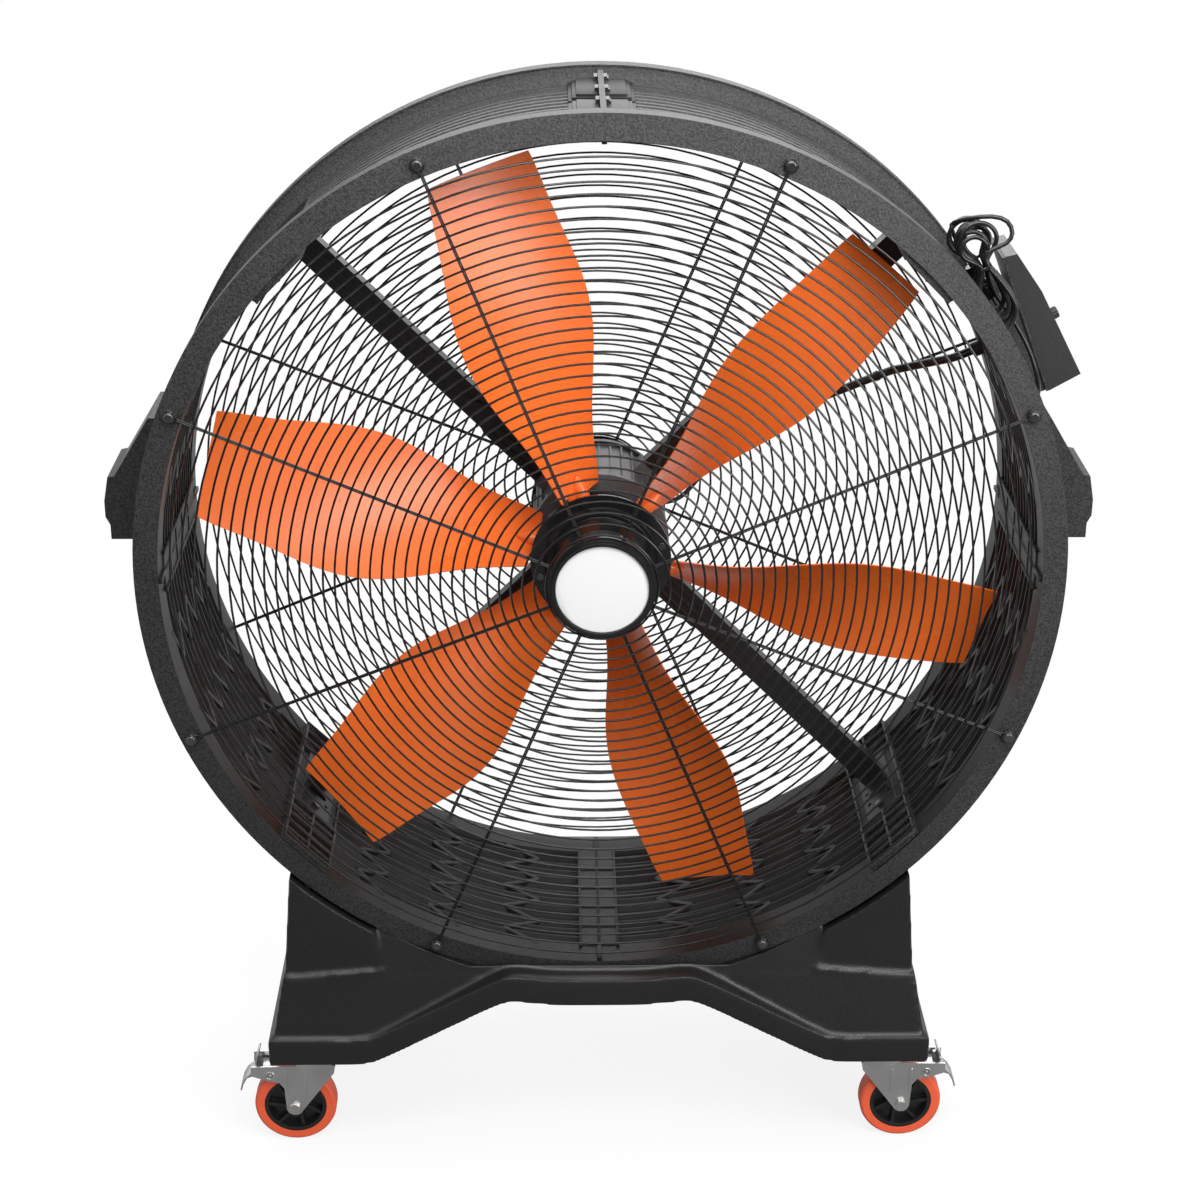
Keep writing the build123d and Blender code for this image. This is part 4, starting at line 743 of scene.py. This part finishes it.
def add_skirt(shape, place):
    """The sloping skirt from the band up to the ledge under the cheeks."""
    add_frustum(shape, stand_foot + stand_band - 0.001, cheek_foot,
                (stand_half_width - stand_ledge, stand_half_depth - stand_ledge),
                (cheek_half_width + 0.001, cheek_half_depth + cheek_ledge), place)


def add_rise(shape, place):
    """The skirt's slope carried on between the cheeks up to the drum."""
    half_width = cheek_inner + 0.008
    foot_depth = cheek_half_depth + cheek_ledge
    top_depth = foot_depth - skirt_slope * (skirt_top - cheek_foot)
    add_frustum(shape, cheek_foot - 0.010, skirt_top, (half_width, foot_depth + 0.002),
                (half_width, top_depth), place)


def cheek_outline():
    """A cheek from the front: its top follows the drum's flange, as (x, z) from the shaft."""
    top = []
    for step in range(cheek_top_steps + 1):
        x = cheek_top_half_width + (cheek_top_inner - cheek_top_half_width) * step / cheek_top_steps
        top.append((x, -sqrt(cheek_top_radius ** 2 - x ** 2)))
    return [(cheek_inner, cheek_foot - 0.02), (cheek_half_width, cheek_foot - 0.02)] + top


def crease_outline():
    """The ledge that a cheek stands on, from the front."""
    low = cheek_foot - 0.014
    return [(cheek_inner, low), (cheek_half_width + 0.002, low), (cheek_half_width, cheek_foot - 0.001),
            (cheek_inner, cheek_foot + 0.011)]


def rounded_line(line, reach):
    """A line of points with each corner between its ends rounded off over the given reach."""
    points = [line[0]]
    for before, corner, after in zip(line, line[1:], line[2:]):
        corner = Vector(corner)
        legs = [Vector(end) - corner for end in (before, after)]
        ends = [corner + leg.normalized() * min(reach, leg.length * 0.45) for leg in legs]
        for step in range(6):
            share = step / 5
            near = ends[0].lerp(corner, share)
            points.append(tuple(near.lerp(corner.lerp(ends[1], share), share)))
    return points + [line[-1]]


def skirt_mesh(line, place):
    """The skirt with the space under the stand's arch taken out."""
    skirt = bmesh.new()
    add_skirt(skirt, place)
    skirt = bare_object("skirt", skirt)
    below = [(cut_half_width, stand_foot), (cut_half_width, cut_foot), (-cut_half_width, cut_foot),
             (-cut_half_width, stand_foot)]
    arch = bmesh.new()
    add_prism(arch, line + below, -cut_half_depth, cut_half_depth, place)
    arch = bare_object("arch", arch)
    cut_by(skirt, arch)
    mesh = finished_mesh(skirt, "skirt")
    bpy.data.objects.remove(arch)
    return mesh


def rough_stand(place):
    """The stand's outside as blocks: skirt, band, rise and cheeks."""
    line = rounded_line(arch_line(), arch_rounding)
    raised = [(x, z + stand_band) for x, z in reversed(line)]
    rough = bmesh.new()
    rough.from_mesh(skirt_mesh(line, place))
    add_prism(rough, line + raised, -stand_half_depth, stand_half_depth, place)
    add_rise(rough, place)
    ledge_depth = cheek_half_depth + cheek_ledge
    for side in (-1, 1):
        cheek = [(side * x, z) for x, z in cheek_outline()]
        add_prism(rough, cheek, -cheek_half_depth, cheek_half_depth, place)
        crease = [(side * x, z) for x, z in crease_outline()]
        add_prism(rough, crease, -ledge_depth, ledge_depth, place)
    return bare_object("rough_stand", rough)


def stand_mesh():
    """The stand's outside: band, sloping skirt and cheeks blended by soft edges, with the drum's pocket."""
    place = drum_place(0)
    rough = rough_stand(place)
    remesh = rough.modifiers.new("even_skin", "REMESH")
    remesh.mode = "VOXEL"
    remesh.voxel_size = skin_voxel
    soft = rough.modifiers.new("soft_edges", "SMOOTH")
    soft.factor = 0.5
    soft.iterations = skin_smoothing
    pocket = bmesh.new()
    add_turned(pocket, [(0.01, -pocket_half_depth), (pocket_radius, -pocket_half_depth),
                        (pocket_radius, pocket_half_depth), (0.01, pocket_half_depth)],
               pocket_turn_steps, place)
    pocket = bare_object("pocket", pocket)
    cut_by(rough, pocket)
    mesh = finished_mesh(rough, "stand_skin")
    bpy.data.objects.remove(pocket)
    return mesh


def lay_stand():
    """The moulded stand in place of its plain solid."""
    mesh = stand_mesh()
    mesh.materials.clear()
    mesh.materials.append(finishes["stand_black"])
    piece = bpy.data.objects.new("stand_skin", mesh)
    scene.collection.objects.link(piece)
    shade(piece)
    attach(piece, "frame")
    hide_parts("stand")


# ---------------------------------------------------------------- inside of the drum

wall_radius = 0.6145
rib_depth = 0.007
drum_joints = 4
stiffener_bands = ((8.6, 13.6), (20.0, 24.8), (31.4, 36.0))
stiffener_rows = 9
stiffener_steps = 4
stiffener_pitch = 0.032
stiffener_width = 0.008
stiffener_first = -0.147
column_half_depth = 0.150
column_rail = (0.0262, 0.0300)
column_rail_height = (0.6095, 0.6135)
column_bead = (0.0005, 0.0026)
column_bead_height = (0.6108, 0.6130)
column_steps = (-0.091, -0.034, 0.024, 0.082)
column_step_half_width = 0.004
column_step_height = (0.6105, 0.6130)
end_rib = (0.146, 0.185)
end_rib_half_width = 0.0036
end_rib_height = (0.6100, 0.6150)
cell_half_width = 0.0425
cell_sides = (-cell_half_width, cell_half_width)
cell_front = (-0.182, -0.064)
cell_back = (0.104, 0.182)
cell_rib_half_width = 0.0015
cell_rib_height = (0.6040, 0.6110)
cell_link_height = (0.6065, 0.6110)
cell_row_half_width = 0.0013
cell_row_height = (0.6050, 0.6110)


def wall_spot(angle, y, radius):
    """A point of the drum's wall."""
    return Vector((radius * sin(radians(angle)), y, axis_height + radius * cos(radians(angle))))


def add_stiffener(shape, start, end):
    """A slanted bridge over the ribs between two (angle, y) spots."""
    along = Vector((radians(end[0] - start[0]) * wall_radius, end[1] - start[1])).normalized()
    across = Vector((-along.y / wall_radius * 180 / pi, along.x)) * (stiffener_width / 2)
    face = wall_radius - 0.0003
    root = wall_radius + rib_depth + 0.001
    rows = []
    for step in range(stiffener_steps + 1):
        angle = start[0] + (end[0] - start[0]) * step / stiffener_steps
        y = start[1] + (end[1] - start[1]) * step / stiffener_steps
        rows.append([shape.verts.new(wall_spot(angle + side * across.x, y + side * across.y, radius))
                     for side, radius in ((-1, face), (1, face), (1, root), (-1, root))])
    for row, after in zip(rows, rows[1:]):
        for index in range(4):
            beside = (index + 1) % 4
            shape.faces.new((row[index], row[beside], after[beside], after[index]))
    shape.faces.new(rows[0])
    shape.faces.new(list(reversed(rows[-1])))


def lay_stiffeners():
    """Zigzag bridges over the ribs, three bands on each side of every joint."""
    for number in range(drum_joints):
        middle = 90 * number
        shape = bmesh.new()
        for side in (-1, 1):
            for near, far in stiffener_bands:
                for index in range(stiffener_rows):
                    y = stiffener_first + index * stiffener_pitch
                    first, second = (near, far) if index % 2 == 0 else (far, near)
                    add_stiffener(shape, (middle + side * first, y),
                                  (middle + side * second, y + stiffener_pitch))
        # Darker black than the drum's: painted shade on the inner wall.
        make_piece(f"wall_stiffeners_{number + 1}", shape, "wall_black_painted_shade", bevel=0.0006)


def lay_joint_columns():
    """Raised edges, steps and end ribs of the strips beside the drum's joints."""
    shape = bmesh.new()
    depth = (-column_half_depth, column_half_depth)
    for number in range(drum_joints):
        place = drum_place(90 * number)
        for side in (-1, 1):
            add_block(shape, side_range(side, *column_rail), depth, column_rail_height, place)
            add_block(shape, side_range(side, *column_bead), depth, column_bead_height, place)
            step = side_range(side, column_bead[1], column_rail[0])
            for y in column_steps:
                step_depth = (y - column_step_half_width, y + column_step_half_width)
                add_block(shape, step, step_depth, column_step_height, place)
        for side in (-1, 1):
            rib = (-end_rib_half_width, end_rib_half_width)
            add_block(shape, rib, side_range(side, *end_rib), end_rib_height, place)
    # Darker black than the drum's: painted shade on the inner wall.
    make_piece("joint_columns", shape, "wall_black_painted_shade", bevel=0.0008)


def lay_pillar_cells():
    """Lattice of ribs on the flats that carry the motor's arms."""
    shape = bmesh.new()
    for number in range(drum_joints):
        place = drum_place(45 + 90 * number)
        for (low, high), rows in ((cell_front, 5), (cell_back, 3)):
            for x in (-cell_half_width, 0.0, cell_half_width):
                rib = (x - cell_rib_half_width, x + cell_rib_half_width)
                add_block(shape, rib, (low, high), cell_rib_height, place)
            for row in range(rows + 1):
                y = low + (high - low) * row / rows
                row_depth = (y - cell_row_half_width, y + cell_row_half_width)
                add_block(shape, cell_sides, row_depth, cell_row_height, place)
        for x in cell_sides:
            rib = (x - cell_rib_half_width, x + cell_rib_half_width)
            add_block(shape, rib, (cell_front[1], cell_back[0]), cell_link_height, place)
    make_piece("pillar_cells", shape, "moulded_black", bevel=0.0006)


# ---------------------------------------------------------------- outside of the drum

slope_foot = 0.6185
slope_rim = 0.6463
slope_back = 0.1600
slope_turn_steps = 240
pocket_spans = ((-0.140, -0.006), (0.006, 0.140))
pocket_near = 0.0045
pocket_floor = 0.6190
pocket_steps = ((0.046, 0.6275, 0.0), (0.041, 0.6315, 0.006), (0.035, 0.6350, 0.012))


def lay_flange_slopes():
    """Insides of the two flanges, curving from the ribbed wall up to the edge of the turned rim."""
    profile = [(slope_foot, 0.1385), (0.6215, 0.1388), (0.6250, 0.1405), (0.6290, 0.1440), (0.6340, 0.1475),
               (0.6400, 0.1500), (slope_rim, 0.1514), (slope_rim, slope_back), (slope_foot, slope_back)]
    for name, side in (("front", -1), ("rear", 1)):
        shape = bmesh.new()
        add_turned(shape, [(radius, side * y) for radius, y in profile], slope_turn_steps, drum_place(0))
        make_piece(f"{name}_flange_slope", shape, "drum_black")


def lay_seam_pockets():
    """Stepped pockets round the bolts on both sides of the drum's top joint."""
    shape = bmesh.new()
    place = drum_place(0)
    for side in (-1, 1):
        for low, high in pocket_spans:
            for reach, top, inset in pocket_steps:
                across = side_range(side, pocket_near, reach)
                add_block(shape, across, (low + inset, high - inset), (pocket_floor, top), place)
    # Darker black than the drum's: painted shade in the pockets.
    make_piece("seam_pockets", shape, "wall_black_painted_shade", bevel=0.0012)


# ---------------------------------------------------------------- castors

castor_spots = ((-0.432, -0.160, -1), (0.432, -0.160, 1), (-0.432, 0.160, 1), (0.432, 0.160, -1))
castor_trail = 0.034
fork_face = 0.023
ridge_low = 0.084
ridge_high = 0.128
pedal_pivot = (0.070, 0.121)
pedal_half_width = 0.0165
pedal_sheet = 0.0025
pedal_rim = 0.002
pin_turn_steps = 32


def castor_place(spot):
    """Turns what is drawn about the swivel, with the wheel towards +X, to its place under the stand."""
    x, y, side = spot
    return Matrix.Translation((x, y, 0)) @ Matrix.Rotation(0 if side > 0 else pi, 4, "Z")


def add_sheet(shape, line, half_width, thickness, place):
    """A bent strip of sheet metal along a line of (x, z) points."""
    outer = []
    inner = []
    for index, (x, z) in enumerate(line):
        before = line[max(index - 1, 0)]
        after = line[min(index + 1, len(line) - 1)]
        way = Vector((after[0] - before[0], after[1] - before[1])).normalized() * (thickness / 2)
        outer.append((x - way.y, z + way.x))
        inner.append((x + way.y, z - way.x))
    add_prism(shape, outer + list(reversed(inner)), -half_width, half_width, place)


def lay_pedals():
    """Pressed foot pedals of the front castors: one ear to step on and one to lift, on a round pin."""
    x, z = pedal_pivot
    lower = [(x - 0.001, z + 0.006), (x + 0.012, z + 0.0065), (x + 0.026, z + 0.002), (x + 0.037, z - 0.008),
             (x + 0.043, z - 0.019), (x + 0.046, z - 0.030)]
    upper = [(x + 0.010, z + 0.0055), (x + 0.019, z + 0.010), (x + 0.0215, z + 0.018),
             (x + 0.0195, z + 0.027), (x + 0.0165, z + 0.0345)]
    cheek = [(x - 0.004, z - 0.004), (x + 0.024, z - 0.004), (x + 0.035, z - 0.008), (x + 0.026, z + 0.002),
             (x + 0.012, z + 0.006), (x - 0.004, z + 0.006)]
    barrel = [(0.0012, -0.0155), (0.0055, -0.0155), (0.0055, 0.0155), (0.0012, 0.0155)]
    pin = [(0.0004, -0.0245), (0.0030, -0.0245), (0.0034, -0.0240), (0.0034, 0.0240), (0.0030, 0.0245),
           (0.0004, 0.0245)]
    for number in (1, 2):
        place = castor_place(castor_spots[number - 1])
        shape = bmesh.new()
        add_sheet(shape, lower, pedal_half_width, pedal_sheet, place)
        add_sheet(shape, upper, pedal_half_width * 0.92, pedal_sheet, place)
        for edge in (-1, 1):
            rim = side_range(edge, pedal_half_width, pedal_half_width - pedal_rim)
            add_prism(shape, cheek, *rim, place)
        hinge = place @ Matrix.Translation((x, 0, z))
        add_turned(shape, barrel, pin_turn_steps, hinge)
        add_turned(shape, pin, pin_turn_steps, hinge)
        piece = make_piece(f"pedal_{number}_sheet", shape, "pedal_zinc", f"pedal_{number}",
                           bevel=0.0007)
        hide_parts(f"brake_pedal_{number}")


def lay_fork_details():
    """Pressed ridges on the castors' forks, and a ring round each pedal's pin."""
    for number, spot in enumerate(castor_spots, 1):
        place = castor_place(spot)
        pivot = place @ Matrix.Translation((pedal_pivot[0], 0, pedal_pivot[1]))
        shape = bmesh.new()
        for side in (-1, 1):
            face = side_range(side, fork_face - 0.0004, fork_face + 0.0012)
            for middle in (castor_trail - 0.017, castor_trail + 0.012):
                ridge = [(middle - 0.0022, ridge_low), (middle + 0.0022, ridge_low),
                         (middle + 0.0030, ridge_high), (middle - 0.0030, ridge_high)]
                add_prism(shape, ridge, *face, place)
            ring = [(0.0050, face[0]), (0.0078, face[0]), (0.0078, face[1]), (0.0050, face[1])]
            if number < 3:
                add_turned(shape, ring, pin_turn_steps, pivot)
        make_piece(f"fork_pressing_{number}", shape, "zinc", f"castor_{number}", bevel=0.0006)


# ---------------------------------------------------------------- strain relief

relief_face = 0.0057
relief_tip = -0.0203
relief_bore = 0.0034
relief_collar = 0.0100
relief_ribs = 5
relief_outer = 0.0080
relief_taper = 0.0034
relief_turn_steps = 36


def lay_mains_relief():
    """Ribbed strain relief that narrows from the bracket's wall to the cord."""
    start = relief_face - 0.0065
    profile = [(relief_bore, relief_face), (relief_collar, relief_face),
               (relief_collar, relief_face - 0.005), (0.0082, start)]
    pitch = (start - relief_tip) / relief_ribs
    for rib in range(relief_ribs):
        y = start - rib * pitch
        outer = relief_outer - relief_taper * (rib + 0.5) / relief_ribs
        groove = outer - 0.0016
        profile += [(outer, y - 0.0004), (outer - 0.0003, y - pitch * 0.62), (groove, y - pitch * 0.70),
                    (groove, y - pitch * 0.96)]
    profile += [(relief_bore, relief_tip)]
    shape = bmesh.new()
    add_turned(shape, profile, relief_turn_steps, Matrix.Translation(from_shaft(gland_x, 0, gland_z)))
    piece = make_piece("mains_relief", shape, "cord_black", bevel=0.0002)
    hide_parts("mains_gland")


# ---------------------------------------------------------------- everything

place_camera()
light_world()
add_lamps()
lay_floor()
moulded_finish = finish_group()
finishes = make_finishes()
smooth_shading = shading_group()
lay_mains_cord()
dress_nodes()
lay_stand()
lay_stiffeners()
lay_joint_columns()
lay_pillar_cells()
lay_flange_slopes()
lay_seam_pockets()
lay_mains_relief()
lay_pedals()
lay_fork_details()
